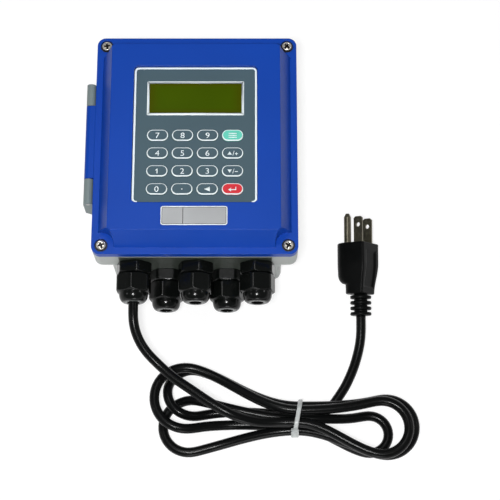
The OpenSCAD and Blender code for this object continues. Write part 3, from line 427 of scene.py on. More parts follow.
finishSetup = {
    "lidBlue": dict(colour=(15, 66, 166), gloss=0.36, grain=1800, patch=18, bump=0.05, edge=0.7, vary=0.04,
                    specular=0.14),
    "caseGrey": dict(colour=(170, 175, 172), gloss=0.45, patch=20, bump=0.1, edge=0.6, vary=0.03,
                     zone=("X", -66.4, (120, 133, 133))),
    # painted shade: the gland plate has the dark grey-green of the shaded wall between the glands
    "platePaintedShade": dict(colour=(47, 54, 47), gloss=0.5, grain=1200, patch=30, bump=0.15, edge=0.3),
    # painted reflection: the cap nuts' mouth faces, past Y -101.2, are pale grey
    "glandBlack": dict(colour=(10, 12, 11), gloss=0.16, grain=1400, patch=60, bump=0.03, edge=0.5, vary=0.15,
                       specular=0.22, zone=("Y", -101.2, (104, 107, 106))),
    "rubberBlack": dict(colour=(26, 27, 26), gloss=0.55, grain=1800, patch=60, bump=0.12, edge=0.2, vary=0.15),
    "screwNickel": dict(colour=(186, 182, 172), gloss=0.26, grain=2500, patch=300, bump=0.05, edge=0.15, metal=0.75),
    # painted shade: the cross recess below Z 64.3 is near black
    "screwHead": dict(colour=(205, 200, 190), gloss=0.24, grain=2500, patch=300, bump=0.05, edge=0.1, metal=0.6,
                      zone=("Z", 64.3, (20, 18, 17))),
    "plainSteel": dict(colour=(170, 170, 168), grain=3000, patch=200, bump=0.08, edge=0.1, vary=0.12, metal=1.0),
    # painted shade: the washers are near black, giving the shadow in the counterbore round each lid screw
    "washerPaintedShade": dict(colour=(16, 17, 20), gloss=0.45, grain=2500, patch=200, edge=0.1),
    "panelGrey": dict(colour=(69, 91, 101), gloss=0.48, grain=2600, patch=22, bump=0.1, edge=0.15, vary=0.05,
                      specular=0.3),
    "keyGreen": dict(colour=(96, 206, 184), gloss=0.45, grain=2600, patch=60, bump=0.08, edge=0.2, vary=0.04),
    "keyRed": dict(colour=(208, 22, 40), gloss=0.45, grain=2600, patch=60, bump=0.08, edge=0.2, vary=0.04),
    "printWhite": dict(colour=(240, 250, 252), gloss=0.4, grain=3000, patch=90, bump=0.08, edge=0.05, vary=0.02),
    "printDark": dict(colour=(72, 66, 66), gloss=0.4, grain=3000, patch=90, bump=0.08, edge=0.0),
    "tieWhite": dict(colour=(180, 184, 183), gloss=0.3, patch=80, edge=0.15, vary=0.02),
    "plugBlack": dict(colour=(11, 12, 12), gloss=0.36, grain=1100, patch=70, bump=0.14, vary=0.12, specular=0.06),
    "bladeBrass": dict(colour=(104, 100, 86), gloss=0.3, grain=2500, patch=160, bump=0.05, edge=0.1, vary=0.14,
                       metal=0.9),
    "boardGreen": dict(colour=(34, 98, 52), gloss=0.25, grain=900, patch=160, bump=0.1, edge=0.1, vary=0.2),
    "chipBlack": dict(colour=(30, 31, 32), gloss=0.5, grain=2200, patch=200, bump=0.12, edge=0.1),
    "blockGreen": dict(colour=(44, 128, 78), grain=1600, patch=90, edge=0.2),
    "windingTape": dict(colour=(206, 168, 62), gloss=0.3, grain=700, patch=120, bump=0.3, edge=0.2, vary=0.12),
    "capBlue": dict(colour=(34, 40, 86), gloss=0.25, patch=90, bump=0.05, edge=0.2),
}
finishes = {name: mouldedMaterial(name, **values) for name, values in finishSetup.items()}


sheathSetup = {"colour": (11, 12, 12), "specular": 0.13, "stretch": (8, 60, 1), "rough": (0.21, 0.29),
               "grain": 1500, "patch": 35, "patches": (0.35, 0.7), "shades": (0.85, 1.2), "flow": (0.05, 0.03),
               "fine": (0.02, 0.02)}


def sheathMaterial(name, s):
    # the cord's smooth sheath: a faint flow along its length, over the cord's own UV
    m, t, skin = startMaterial(name, Specular_IOR_Level=s["specular"])
    uv = addNode(t, "ShaderNodeUVMap", uv_map="alongRound").outputs["UV"]
    flow = stretchedNoise(t, uv, s["stretch"])
    grains = addGrain(t, placeOn(t), s["grain"], s["patch"])
    setInputs(skin, Base_Color=drifting(t, grains["Patches"], s["patches"], s["colour"], *s["shades"]),
              Roughness=mapRange(t, flow, 0.3, 0.7, *s["rough"]),
              Normal=addBump(t, grains["Height"], *s["fine"], addBump(t, flow, *s["flow"])))
    return m


windowSetup = {"middle": (0, 26.2), "half": (30.0, 10.2), "margin": (8.0, 4.0), "fade": 1.6, "olive": (61, 81, 0),
               "edge": (66, 70, 0), "shades": (0.92, 1.08), "rough": 0.2, "specular": 0.05, "grain": 2200,
               "patch": 30}


def windowMaterial(name, s):
    # olive display behind glass, a little browner toward its edges
    m, t, skin = startMaterial(name, Roughness=s["rough"], Specular_IOR_Level=s["specular"])
    where = placeOn(t)
    x, y = s["middle"]
    shift = addNode(t, "ShaderNodeMapping", Vector=where, Location=(-x * mm, -y * mm, 0))
    split = addNode(t, "ShaderNodeSeparateXYZ", Vector=shift.outputs["Vector"])
    near = []
    for k, axis in enumerate("XY"):
        edge = s["half"][k] * mm
        near.append(mapRange(t, maths(t, "ABSOLUTE", split.outputs[axis]), edge - s["margin"][k] * mm, edge))
    soft = maths(t, "POWER", maths(t, "MAXIMUM", *near), s["fade"])
    grains = addGrain(t, where, s["grain"], s["patch"])
    body = drifting(t, grains["Patches"], grainSetup["patches"], s["olive"], *s["shades"])
    setInputs(skin, Base_Color=mixColour(t, soft, body, linear(*s["edge"])))
    return m


foilSetup = {"colour": (160, 162, 164), "metal": 0.25, "brush": (120, 4000, 400), "rough": (0.28, 0.5),
             "bump": (0.12, 0.02), "grain": 1400, "patch": 45, "patches": (0.35, 0.65), "shades": (0.95, 1.04)}


def foilMaterial(name, s):
    # brushed silver foil of the label plate
    m, t, skin = startMaterial(name, Metallic=s["metal"])
    where = placeOn(t)
    brushed = stretchedNoise(t, where, s["brush"])
    grains = addGrain(t, where, s["grain"], s["patch"])
    setInputs(skin, Base_Color=drifting(t, grains["Patches"], s["patches"], s["colour"], *s["shades"]),
              Roughness=mapRange(t, brushed, 0.3, 0.7, *s["rough"]), Normal=addBump(t, brushed, *s["bump"]))
    return m


finishes["cordBlack"] = sheathMaterial("cordBlack", sheathSetup)
finishes["displayOlive"] = windowMaterial("displayOlive", windowSetup)
finishes["labelFoil"] = foilMaterial("labelFoil", foilSetup)

nodesOfFinish = {
    "caseGrey": "base_shell",
    "lidBlue": "lid_shell",
    "platePaintedShade": "gland_plate",
    "glandBlack": "gland_bodies gland_locknuts gland_nut_1 gland_nut_2 gland_nut_3 gland_nut_4 gland_nut_5",
    "rubberBlack": "rim_seal gland_seals mains_wires",
    "screwNickel": "base_board_screws main_board_screws lid_screws",
    "plainSteel": "hinge_pin board_pillars terminal_screws transformer_core fuse snap_domes",
    "washerPaintedShade": "screw_washers",
    "panelGrey": "panel_overlay",
    "keyGreen": "key_menu",
    "keyRed": "key_enter",
    "displayOlive": "display_window",
    "labelFoil": "label_plate",
    "boardGreen": "terminal_board key_circuit main_board",
    "chipBlack": "display_module main_board_chips",
    "blockGreen": "terminal_blocks",
    "windingTape": "transformer_coil",
    "capBlue": "capacitors",
    "tieWhite": "cable_tie",
    "cordBlack": "cord_lead cord_hank cord_tail",
    "plugBlack": "plug_body plug_guard",
    "bladeBrass": "plug_blades plug_earth_pin",
}
finishOfNode = {name: finish for finish, names in nodesOfFinish.items() for name in names.split()}
for name, obj in nodes.items():
    obj.data.materials.clear()
    obj.data.materials.append(finishes[finishOfNode.get(name, "panelGrey")])  # the other keys are grey
print("stage: materials")


def addPiece(obj, finish, body, replaced=()):
    obj.data.materials.clear()
    obj.data.materials.append(finishes[finish])
    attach(obj, body)
    if replaced:
        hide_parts(*replaced)
    return obj


addPiece(mainsCord, "cordBlack", "case", ("cord_lead", "cord_hank", "cord_tail"))


# Cable tie: a strap round the bundle and its ratchet head
tieSetup = {"width": 2.9, "thickness": 1.2, "slant": 0.18, "gap": 0.15, "directions": 120,
            "edge": [(0, 0.3), (0.25, 0), (-0.45, 0), (-0.1, 0.3), (0, 0.8)], "crown": 0.12,
            "headLength": 5.6, "headWidth": 4.8, "headThickness": 3.8, "headRound": 0.5, "headSegments": 3,
            "windowInset": 1.1, "windowDepth": 1.0, "bevelAngle": 35}


def buildTie(s, r):
    centres = [Vector(c) for c in waistPlaces(r)]
    inner = r["diameter"] / 2 + s["gap"]
    wx, wy = r["waist"]
    w, t = s["width"] / 2, s["thickness"]
    # half of the strap's section: out from the bundle, and in from the strap's edge
    half = [(out + (t if k > 1 else 0), inset) for k, (out, inset) in enumerate(s["edge"])]
    section = [(out, inset - w) for out, inset in half] + [(t - s["crown"], 0)]
    section += [(out, w - inset) for out, inset in reversed(half)]
    rings = []
    for direction in unitCircle(s["directions"]):
        d = Vector(direction)
        c = max(centres, key=lambda q: q.dot(d))
        places = [(c + d * (inner + out), across) for out, across in section]
        rings.append([Vector((wx + across + s["slant"] * q.x, wy + q.x, q.y)) * mm for q, across in places])
    strap = linkMesh("tieStrap", meshFromRings("tieStrap", rings, loop=True))
    # head: a rounded block with the pawl's window
    top, side = centres[0], centres[4]
    lean = math.atan2(top.x - side.x, top.y - side.y)
    out = Vector((-math.cos(lean), math.sin(lean)))
    mid = (top + side) / 2 + out * (inner + s["headThickness"] / 2)
    bm = bmesh.new()
    bmesh.ops.create_cube(bm, size=1.0)
    bmesh.ops.scale(bm, vec=(s["headWidth"], s["headThickness"], s["headLength"]), verts=bm.verts)
    face = [f for f in bm.faces if f.normal.y < -0.9]
    bmesh.ops.inset_region(bm, faces=face, thickness=s["windowInset"], use_even_offset=True)
    bmesh.ops.translate(bm, vec=(0, s["windowDepth"], 0), verts=list({v for f in face for v in f.verts}))
    bmesh.ops.transform(bm, matrix=Matrix.Translation(Vector((wx + s["slant"] * mid.x, wy + mid.x, mid.y)))
                        @ Matrix.Rotation(-lean, 4, "X"), verts=bm.verts)
    bmesh.ops.scale(bm, vec=(mm, mm, mm), verts=bm.verts)
    head = linkMesh("tieHead", meshFromBm("tieHead", bm, False))
    m = head.modifiers.new("edges", "BEVEL")
    m.width = s["headRound"] * mm
    m.segments = s["headSegments"]
    m.limit_method = "ANGLE"
    m.angle_limit = math.radians(s["bevelAngle"])
    m.harden_normals = True
    smoothFaces(applyModifiers(head).data)
    return strap, head


tieStrap, tieHead = buildTie(tieSetup, cordRoute)
addPiece(tieStrap, "tieWhite", "case", ("cable_tie",))
addPiece(tieHead, "tieWhite", "case")
print("stage: tie")


# Plug: moulded body lofted from its sections, with a grip recess, and the ribbed cord guard
plugSetup = {
    "place": (111, -53.667, 18.471), "pitch": 9.5, "roll": -33.5, "neckOff": 2.0,
    "block": (5.9, 17.5, 11.0, 1.3, 9.4),  # reach to the blades' side and to the pin's, half width, two corner radii
    "neck": (3.6, 11.4, 9.0, 1.3, 6.9),
    "blockLength": 21.0, "shoulderLength": 7.0, "neckLength": 6.1, "taperStart": 13.0,
    "ringStep": 0.6, "endRings": (0.0, 0.12, 0.35, 0.7, 1.2), "endRound": 0.7, "sidePoints": 26,
    "gripDepth": 0.9, "gripHalf": 6.6, "gripStart": 5.0, "gripEnd": 30.0, "gripEdge": 1.3,
    "guardLength": 14.5, "guardRadius": 4.45, "guardSides": 48, "ribRadius": 7.0, "ribCount": 4, "ribPitch": 3.7,
    "ribThickness": 2.2, "ribRound": [(0.05, 0.55), (0.2, 0.2), (0.55, 0.0)], "rootStep": 0.25,
}


def plugTransform(s, off=0.0):
    x, y, z = s["place"]
    return (Matrix.Translation((x - off, y, z)) @ Matrix.Rotation(math.radians(s["pitch"] - 90), 4, "X")
            @ Matrix.Rotation(math.radians(s["roll"]), 4, "Z"))


def plugSection(reach, out, half, edge, back, flat):
    # flat toward the blades' side, nearly a half round toward the earth pin
    points = (arc(reach - edge, half - edge, edge, 0, 6) + arc(-out + back, half - back, back, 90, 16)
              + arc(-out + back, back - half, back, 180, 16) + arc(reach - edge, edge - half, edge, 270, 6))
    return points + [Vector((reach, (2 * i / flat - 1) * (half - edge))) for i in range(1, flat)]


def loft(name, sections, matrix):
    # sections: (z, outline)
    rings = [[matrix @ Vector((x, y, z)) * mm for x, y in outline] for z, outline in sections]
    return linkMesh(name, meshFromRings(name, rings))


def buildPlug(s):
    whole = s["blockLength"] + s["shoulderLength"] + s["neckLength"]
    distances = list(s["endRings"])
    while distances[-1] < whole - s["endRings"][-1]:
        distances.append(distances[-1] + s["ringStep"])
    distances += [whole - 0.7, whole - 0.3, whole - 0.08, whole]
    sections = []
    for d in distances:
        straight = smoothStep((d - s["taperStart"]) / (whole - s["taperStart"]))
        turn = max(0.0, min(1.0, (d - s["blockLength"] + 1) / (s["shoulderLength"] + 0.5)))
        shares = [straight, 1 - math.sqrt(1 - turn * turn), straight, straight, turn]
        reach, out, half, edge, back = [a + (b - a) * t for a, b, t in zip(s["block"], s["neck"], shares)]
        fromEnd = min(1.0, min(d, whole - d) / s["endRound"])
        inset = s["endRound"] * (1 - math.sqrt(max(0.0, 1 - (1 - fromEnd) ** 2)))
        outline = []
        for x, y in plugSection(reach - inset, out - inset, half - inset, edge, back, s["sidePoints"]):
            if x > reach - inset - 0.01 and abs(y) < half - edge:
                e = min((s["gripHalf"] - abs(y)) / s["gripEdge"], (d - s["gripStart"]) / s["gripEdge"] / 1.5,
                        (s["gripEnd"] - d) / s["gripEdge"])
                x -= s["gripDepth"] * smoothStep(e)
            outline.append((x, y))
        sections.append((-d, outline))
    body = loft("plugBody", sections, plugTransform(s))
    end = -whole - s["guardLength"]
    core, rib, t, step = s["guardRadius"], s["ribRadius"], s["ribThickness"], s["rootStep"]
    rise = [(0.0, core + step)] + [(up, rib - drop) for up, drop in s["ribRound"]]
    profile = []
    for i in range(s["ribCount"]):
        z = end + i * s["ribPitch"]
        if i:
            profile.append((z - step, core))
        profile += [(z + up, r) for up, r in rise] + [(z + t - up, r) for up, r in reversed(rise)]
        profile.append((z + t + step, core))
    profile.append((-whole + 0.1, core))
    circle = unitCircle(s["guardSides"])
    sections = [(z, [(r * x, r * y) for x, y in circle]) for z, r in profile]
    guard = loft("plugGuard", sections, plugTransform(s, s["neckOff"]))
    return body, guard


plugBody, plugGuard = buildPlug(plugSetup)
addPiece(plugBody, "plugBlack", "case", ("plug_body",))
addPiece(plugGuard, "plugBlack", "case", ("plug_guard",))
print("stage: plug")


# Printed lines and key rings: thin raised strips
panelPrint = {
    "overlayTop": 77.5, "keyTop": 77.9, "lift": 0.02, "keyLift": 0.01, "signHeight": 0.06, "overlap": 0.01,
    "panelWidth": 79.7, "panelLength": 93.4, "panelGap": 0.15,
    "panelY": 1.25, "panelRound": 3.0, "borderWidth": 1.25, "borderEnd": 0.4,
    "windowY": 26.2, "frameWidth": 62.6, "frameHeight": 23.7, "frameLine": 1.5, "frameRound": 0.6,
    "keyWidth": 13.6, "keyHeight": 7.6, "keyGap": 0.05, "ringLine": 0.62, "ringHeight": 0.22, "ringHighlight": 0.28,
    "pitchX": 16.05, "pitchY": 12.15, "topRow": 0.3, "columns": 4,
    "digitSize": 5.3, "digitStretch": 1.14, "digitThin": -0.02,
}
stripShape = {"shoulder": 0.04, "shoulderHeight": 0.6, "foot": 0.01}


def offsetOutline(points, distance, closed=True):
    # moves each point inward along its own normal, for outlines that turn counter-clockwise
    made = []
    n = len(points)
    for i, p in enumerate(points):
        a = points[(i - 1) % n] if closed or i > 0 else p
        b = points[(i + 1) % n] if closed or i < n - 1 else p
        d = (b - a).normalized()
        made.append(p + Vector((-d.y, d.x)) * distance)
    return made


def raisedStrip(name, outline, width, z, height, closed=True, soften=0.25, lift=0.0):
    # a printed or embossed line inside an outline, with softened shoulders; lift thickens its lower side, which on
    # the key rings is a painted highlight of the keys' rounded lower edge
    s = min(soften, width / 3)
    e, low, foot = stripShape["shoulder"], height * stripShape["shoulderHeight"], -stripShape["foot"]
    levels = [(0, 0), (e, low), (s, height), (width - s, height), (width - e, low), (width, 0), (width, foot),
              (0, foot)]
    rings = [[Vector((q.x, q.y + lift * off / width, z + up)) * mm for q in offsetOutline(outline, off, closed)]
             for off, up in levels]
    return meshFromRings(name, rings, loop=True, closed=closed)


def joinMeshes(name, meshes):
    bm = bmesh.new()
    for m in meshes:
        bm.from_mesh(m)
    return smoothFaces(bmToMesh(name, bm))


def flatShape(name, outline, z, height):
    rings = [[Vector((x, y, level)) * mm for x, y in outline] for level in (z, z + height)]
    return meshFromRings(name, rings, smooth=False)


def printedText(name, text, size, x, y, z, height, bold, stretch):
    curve = bpy.data.curves.new(name, "FONT")
    curve.body = text
    curve.size = size * mm
    curve.extrude = height * mm / 2
    curve.offset = bold * mm
    curve.resolution_u = 6
    curve.align_x = "CENTER"
    curve.align_y = "CENTER"
    obj = linkMesh(name, curve)
    made = bpy.data.meshes.new_from_object(obj.evaluated_get(bpy.context.evaluated_depsgraph_get()))
    bpy.data.objects.remove(obj)
    low = [min(v.co[k] for v in made.vertices) for k in range(2)]
    high = [max(v.co[k] for v in made.vertices) for k in range(2)]
    made.transform(Matrix.Translation((-(low[0] + high[0]) / 2, -(low[1] + high[1]) / 2, height / 2 * mm)))
    made.transform(Matrix.Translation(Vector((x, y, z)) * mm) @ Matrix.Diagonal((stretch, 1, 1, 1)))
    return made


def box(x0, y0, x1, y1):
    return [(x0, y0), (x1, y0), (x1, y1), (x0, y1)]


# Signs that aren't typed: outlines about the key's centre
slash = [(-0.05, -1.6), (0.3, -1.6), (1.2, 1.6), (0.85, 1.6)]
dash = box(1.45, -0.6, 3.45, -0.15)
keySigns = {
    "menu": [box(-2.6, y - 0.28, 2.6, y + 0.28) for y in (-1.35, 0, 1.35)],
    "enter": [[(2.4, 1.5), (1.8, 1.5), (1.8, -0.1), (-1.0, -0.1), (-1.0, -0.7), (2.4, -0.7)],
              [(-2.7, -0.4), (-0.9, -1.7), (-0.9, 0.9)]],
    "up": [[(-3.3, -1.05), (-0.4, -1.05), (-1.85, 1.15)], slash, dash, box(2.23, -1.38, 2.67, 0.62)],
    "down": [[(-3.3, 1.05), (-1.85, -1.15), (-0.4, 1.05)], slash, dash],
    "left": [[(-2.0, 0), (1.7, -1.6), (1.7, 1.6)]],
    "1": [box(-0.15, -1.65, 0.45, 1.65), [(-0.95, 0.75), (-0.95, 0.3), (0.1, 0.75), (0.1, 1.6)]],
    "dot": [[(0.42 * dx, 0.42 * dy) for dx, dy in unitCircle(16)]],
}
crossingParts = {("up", 3), ("1", 1)}  # these cross another part of their sign, a hair higher


def keySign(s, label, x, y):
    z, h = s["keyTop"] + s["keyLift"], s["signHeight"]
    if label not in keySigns:
        return [printedText("digit", label, s["digitSize"], x, y, z, h, s["digitThin"], s["digitStretch"])]
    made = []
    for i, outline in enumerate(keySigns[label]):
        extra = s["overlap"] if (label, i) in crossingParts else 0
        made.append(flatShape("sign", [(x + dx, y + dy) for dx, dy in outline], z, h + extra))
    return made


def buildKeyPrints(s):
    w, h = [s[k] - 2 * s["keyGap"] for k in ("keyWidth", "keyHeight")]
    for i, label in enumerate("7 8 9 menu 4 5 6 up 1 2 3 down 0 dot left enter".split()):
        row, column = divmod(i, s["columns"])
        x = (column - (s["columns"] - 1) / 2) * s["pitchX"]
        y = s["topRow"] - row * s["pitchY"]
        outline = pill(w, h, h / 2 - s["keyGap"], x=x, y=y)
        # white printed ring; its thicker lower side is a painted highlight
        ring = raisedStrip("ring", outline, s["ringLine"], s["keyTop"] + s["keyLift"], s["ringHeight"],
                           lift=s["ringHighlight"])
        name = "key_" + label
        obj = linkMesh(name + "_print", joinMeshes(name + "_print", [ring] + keySign(s, label, x, y)))
        addPiece(obj, "printWhite", name)


buildKeyPrints(panelPrint)


def buildPanelPrints(s):
    w, l = [s[k] - 2 * s["panelGap"] for k in ("panelWidth", "panelLength")]
    r, z = s["panelRound"], s["overlayTop"] + s["lift"]
    steps = 8
    corners = pill(w, l, r, steps, y=s["panelY"])
    # the border runs round all but the lower edge, from the right lower corner to the left one
    first = 3 * (steps + 1)
    end, low = w / 2 - r - s["borderEnd"], s["panelY"] - l / 2
    outline = [Vector((end, low))] + corners[first:] + corners[:first] + [Vector((-end, low))]
    border = raisedStrip("panelBorder", outline, s["borderWidth"], z, 0.08, closed=False, soften=0.15)
    frameOutline = pill(s["frameWidth"], s["frameHeight"], s["frameRound"], 3, y=s["windowY"])
    windowFrame = raisedStrip("windowFrame", frameOutline, s["frameLine"], z, 0.1, soften=0.15)
    for name, mesh in (("panelBorder", border), ("windowFrame", windowFrame)):
        addPiece(linkMesh(name, mesh), "printWhite", "lid")


buildPanelPrints(panelPrint)


labelPrint = {"width": 42.0, "height": 12.5, "y": -54.6, "top": 80.5, "lift": 0.01, "inset": 0.55, "line": 0.4,
              "lineHeight": 0.03, "lineRound": 1.2, "rimGap": 0.05, "rimHeight": 0.05, "rimRound": 1.6,
              "divider": -7.0}


def buildLabelPrint(s):
    z = s["top"] + s["lift"]
    inner, outer = [[s[k] - 2 * s[gap] for k in ("width", "height")] for gap in ("inset", "rimGap")]
    outline, edge = pill(*inner, s["lineRound"], 6, y=s["y"]), pill(*outer, s["rimRound"], 6, y=s["y"])
    frameLine = raisedStrip("labelFrame", outline, s["line"], z, s["lineHeight"], soften=0.1)
    rim = raisedStrip("labelRim", edge, s["inset"], z, s["rimHeight"], soften=0.15)
    addPiece(linkMesh("labelRim", rim), "printWhite", "lid")
    x, y, h, half = s["divider"], s["y"], inner[1] / 2 - 0.1, s["line"] / 2
    divider = flatShape("divider", box(x - half, y - h, x + half, y + h), z, s["lineHeight"])
    addPiece(linkMesh("labelLines", joinMeshes("labelLines", [frameLine, divider])), "printDark", "lid")


buildLabelPrint(labelPrint)
print("stage: prints")


# Glands: hexagons with turned corners, domed cap nuts with a rolled mouth
glandSetup = {
    "plateY": -75.2, "pitch": 20.0, "topZ": 42.0, "lowZ": 22.0, "flats": 21.0, "hexRound": 0.7, "sides": 144,
    "bodyLength": 7.5, "bodyTurns": (15, 0, 15, 0, 40), "bodyBore": 5.8, "threadRadius": 8.0, "threadBack": 14.0,
    "threadEnd": 18.0, "threadChamfer": 0.4, "bodyFoot": (0.9, 11.0), "bodyTop": (-1.5, 10.3),  # height, face radius
    "nutGap": 0.5, "nutHex": 11.6, "nutDome": 6.4, "nutTurns": (35, 41, 37, 48, 46), "nutFoot": (1.5, 10.4),
    "nutTop": (-2.0, 10.0), "domeFoot": 9.4, "domeStep": 0.15, "domeRise": 0.3, "domeRings": 14, "mouth": 4.0,
    "mouthLip": 1.3, "boreGap": 0.2, "nutBore": 8.06, "hollowEnd": 16.4, "hollowStep": 1.6, "sharpAngle": 24,
}


def hexRadius(s, angle, turn):
    # distance of a hexagon's outline at an angle, its corners rounded
    a = (math.degrees(angle) - turn + 30) % 60 - 30
    flat = s["flats"] / 2 / math.cos(math.radians(30 - abs(a)))
    corner = s["flats"] / 2 / math.cos(math.radians(30))
    if corner - flat < s["hexRound"]:
        flat -= (s["hexRound"] - (corner - flat)) ** 2 / (2 * s["hexRound"])
    return flat


def hexRing(s, turn, limit):
    return [min(hexRadius(s, a, turn), limit) for a in fullTurn(s["sides"])]


def chamferRings(s, turn, start, shape, count=9):
    # a hexagon whose corners are turned down toward one end, from its chamfered face to its full size
    step, inner = shape
    outer = s["flats"] / 2 / math.cos(math.radians(30))
    shares = [k / count for k in range(count + 1)]
    return [(start + step * t, hexRing(s, turn, inner + (outer - inner) * math.sin(t * math.pi / 2))) for t in shares]


def roundRings(s, *sizes):
    return [(out, [radius] * s["sides"]) for out, radius in sizes]


def glandBodyRings(s, turn):
    # rings of (distance out of the plate, radius in each direction), closed into one loop
    top, thread, bore, c = s["bodyLength"], s["threadRadius"], s["bodyBore"], s["threadChamfer"]
    back, end = -s["threadBack"], s["threadEnd"]
    return (roundRings(s, (back, bore), (back, thread - c), (back + c, thread), (0.02, thread))
            + chamferRings(s, turn, 0.03, s["bodyFoot"]) + chamferRings(s, turn, top, s["bodyTop"])[::-1]
            + roundRings(s, (top + 0.01, thread), (end - c, thread), (end, thread - c), (end, bore)))


def glandNutRings(s, turn):
    low = s["bodyLength"] + s["nutGap"]
    shoulder = low + s["nutHex"]
    end, back = shoulder + s["nutDome"], low + s["hollowEnd"]
    mouth, lip = s["mouth"], s["mouth"] + s["mouthLip"]
    foot, step, rise, wide = s["domeFoot"], s["domeStep"], s["domeRise"], s["bodyBore"] + s["boreGap"]
    dome = [(shoulder + 0.02, foot + step), (shoulder + rise, foot)]
    for k in range(1, s["domeRings"] + 1):
        a = math.pi / 2 * k / s["domeRings"]
        dome.append((shoulder + rise + (s["nutDome"] - 0.4) * math.sin(a),
                     lip + step + (foot - lip - step) * math.cos(a) ** 0.85))
    inside = [(end - 0.03, lip + 0.05), (end, lip - 0.1), (end, mouth + 0.15), (end - 0.04, mouth + 0.04),
              (end - 0.15, mouth), (back, mouth), (back, wide), (back - s["hollowStep"], wide),
              (back - s["hollowStep"], s["nutBore"]), (low, s["nutBore"])]
    return (chamferRings(s, turn, low, s["nutFoot"]) + chamferRings(s, turn, shoulder, s["nutTop"])[::-1]
            + roundRings(s, *dome, *inside))


def addGlandPart(s, name, i, rings, body, replaced):
    x, y, z = (i - 2) * s["pitch"], s["plateY"], s["topZ"] if i % 2 == 0 else s["lowZ"]
    circle = unitCircle(s["sides"])
    points = [[Vector((x + r * cx, y - out, z + r * cz)) * mm for r, (cx, cz) in zip(radii, circle)]
              for out, radii in rings]
    obj = linkMesh(name, meshFromRings(name, points, loop=True))
    obj.data.set_sharp_from_angle(angle=math.radians(s["sharpAngle"]))
    addPiece(obj, "glandBlack", body, replaced)


for i in range(5):
    nut = "gland_nut_%d" % (i + 1)
    bodyRings = glandBodyRings(glandSetup, glandSetup["bodyTurns"][i])
    nutRings = glandNutRings(glandSetup, glandSetup["nutTurns"][i])
    addGlandPart(glandSetup, "glandBody_%d" % (i + 1), i, bodyRings, "case", ("gland_bodies",) if i == 0 else ())
    addGlandPart(glandSetup, "glandNut_%d" % (i + 1), i, nutRings, nut, (nut,))
print("stage: glands")


# Lid screws: one domed cross head, set at the four places by a node tree
screwSetup = {"x": 59.7, "y": 69.1, "seat": 62.5, "washer": 0.5, "headRadius": 3.25, "headHeight": 2.1,
              "headRings": 8, "headFlat": 0.55, "headEdge": 0.45, "rimHeight": 0.25, "rimInset": 0.2,
              "shank": 1.9, "tip": 54.0, "tipLength": 1.0, "tipShare": 0.55, "steps": 40,
              "crossWidth": 1.5, "crossLength": 5.4, "crossDepth": 1.9, "crossTaper": (0.45, 0.7),
              "turns": (0.35, 1.1, 0.8, 0.15)}


def screwMesh(s):
    r, h, shank, tip = s["headRadius"], s["headHeight"], s["shank"], s["tip"]
    flat, edge, z0 = s["headFlat"], s["headEdge"], s["seat"] + s["washer"]
    profile = [(0.0, z0 + h)]
    for k in range(1, s["headRings"] + 1):
        a = math.radians(90 - 90 * k / s["headRings"])
        profile.append((r * (flat + (1 - flat) * math.cos(a)), z0 + h * (edge + (1 - edge) * math.sin(a))))
    profile += [(r, z0 + s["rimHeight"]), (r - s["rimInset"], z0), (shank, z0), (shank, tip + s["tipLength"]),
                (shank * s["tipShare"], tip), (0.0, tip)]
    bm = bmesh.new()
    verts = [bm.verts.new(Vector((x, 0, z)) * mm) for x, z in profile]
    edges = [bm.edges.new(pair) for pair in zip(verts, verts[1:])]
    bmesh.ops.spin(bm, geom=verts + edges, cent=(0, 0, 0), axis=(0, 0, 1), angle=2 * math.pi, steps=s["steps"])
    head = linkMesh("screwOne", meshFromBm("screwOne", bm))
    # the cross: two tapered blocks, cut out of the head
    cutter = bmesh.new()
    top, low = (z0 + h + 0.3) * mm, (z0 + h - s["crossDepth"]) * mm
    for turn in (0, math.pi / 2):
        made = bmesh.ops.create_cube(cutter, size=1.0)
        for v in made["verts"]:
            long, wide = (1.0, 1.0) if v.co.z > 0 else s["crossTaper"]
            v.co = Vector((v.co.x * s["crossLength"] * long * mm, v.co.y * s["crossWidth"] * wide * mm,
                           top if v.co.z > 0 else low))
        bmesh.ops.rotate(cutter, cent=(0, 0, 0), matrix=Matrix.Rotation(turn, 3, "Z"), verts=made["verts"])
    bmesh.ops.recalc_face_normals(cutter, faces=cutter.faces)
    cross = linkMesh("cross", bmToMesh("cross", cutter))
    m = head.modifiers.new("cross", "BOOLEAN")
    m.operation = "DIFFERENCE"
    m.solver = "EXACT"
    m.use_self = True
    m.object = cross
    bpy.context.view_layer.update()
    applyModifiers(head)
    bpy.data.objects.remove(cross)
    return head


def placeTree(one):
    # instances of one object on the points of the input mesh, turned by the points' own angle
    g = bpy.data.node_groups.new("setAtPlaces", "GeometryNodeTree")
    g.interface.new_socket("Geometry", in_out="INPUT", socket_type="NodeSocketGeometry")
    g.interface.new_socket("Size", in_out="INPUT", socket_type="NodeSocketFloat").default_value = 1.0
    g.interface.new_socket("Finish", in_out="INPUT", socket_type="NodeSocketMaterial")
    g.interface.new_socket("Geometry", in_out="OUTPUT", socket_type="NodeSocketGeometry")
    i, o = addNode(g, "NodeGroupInput").outputs, addNode(g, "NodeGroupOutput")
    info = addNode(g, "GeometryNodeObjectInfo", Object=one)
    turn = addNode(g, "GeometryNodeInputNamedAttribute", data_type="FLOAT_VECTOR", Name="turn")
    setAt = addNode(g, "GeometryNodeInstanceOnPoints", Points=i["Geometry"], Instance=info.outputs["Geometry"],
                    Rotation=turn.outputs["Attribute"], Scale=i["Size"])
    real = addNode(g, "GeometryNodeRealizeInstances", Geometry=setAt.outputs["Instances"])
    paint = addNode(g, "GeometryNodeSetMaterial", Geometry=real.outputs["Geometry"], Material=i["Finish"])
    setInputs(o, Geometry=paint.outputs["Geometry"])
    return g


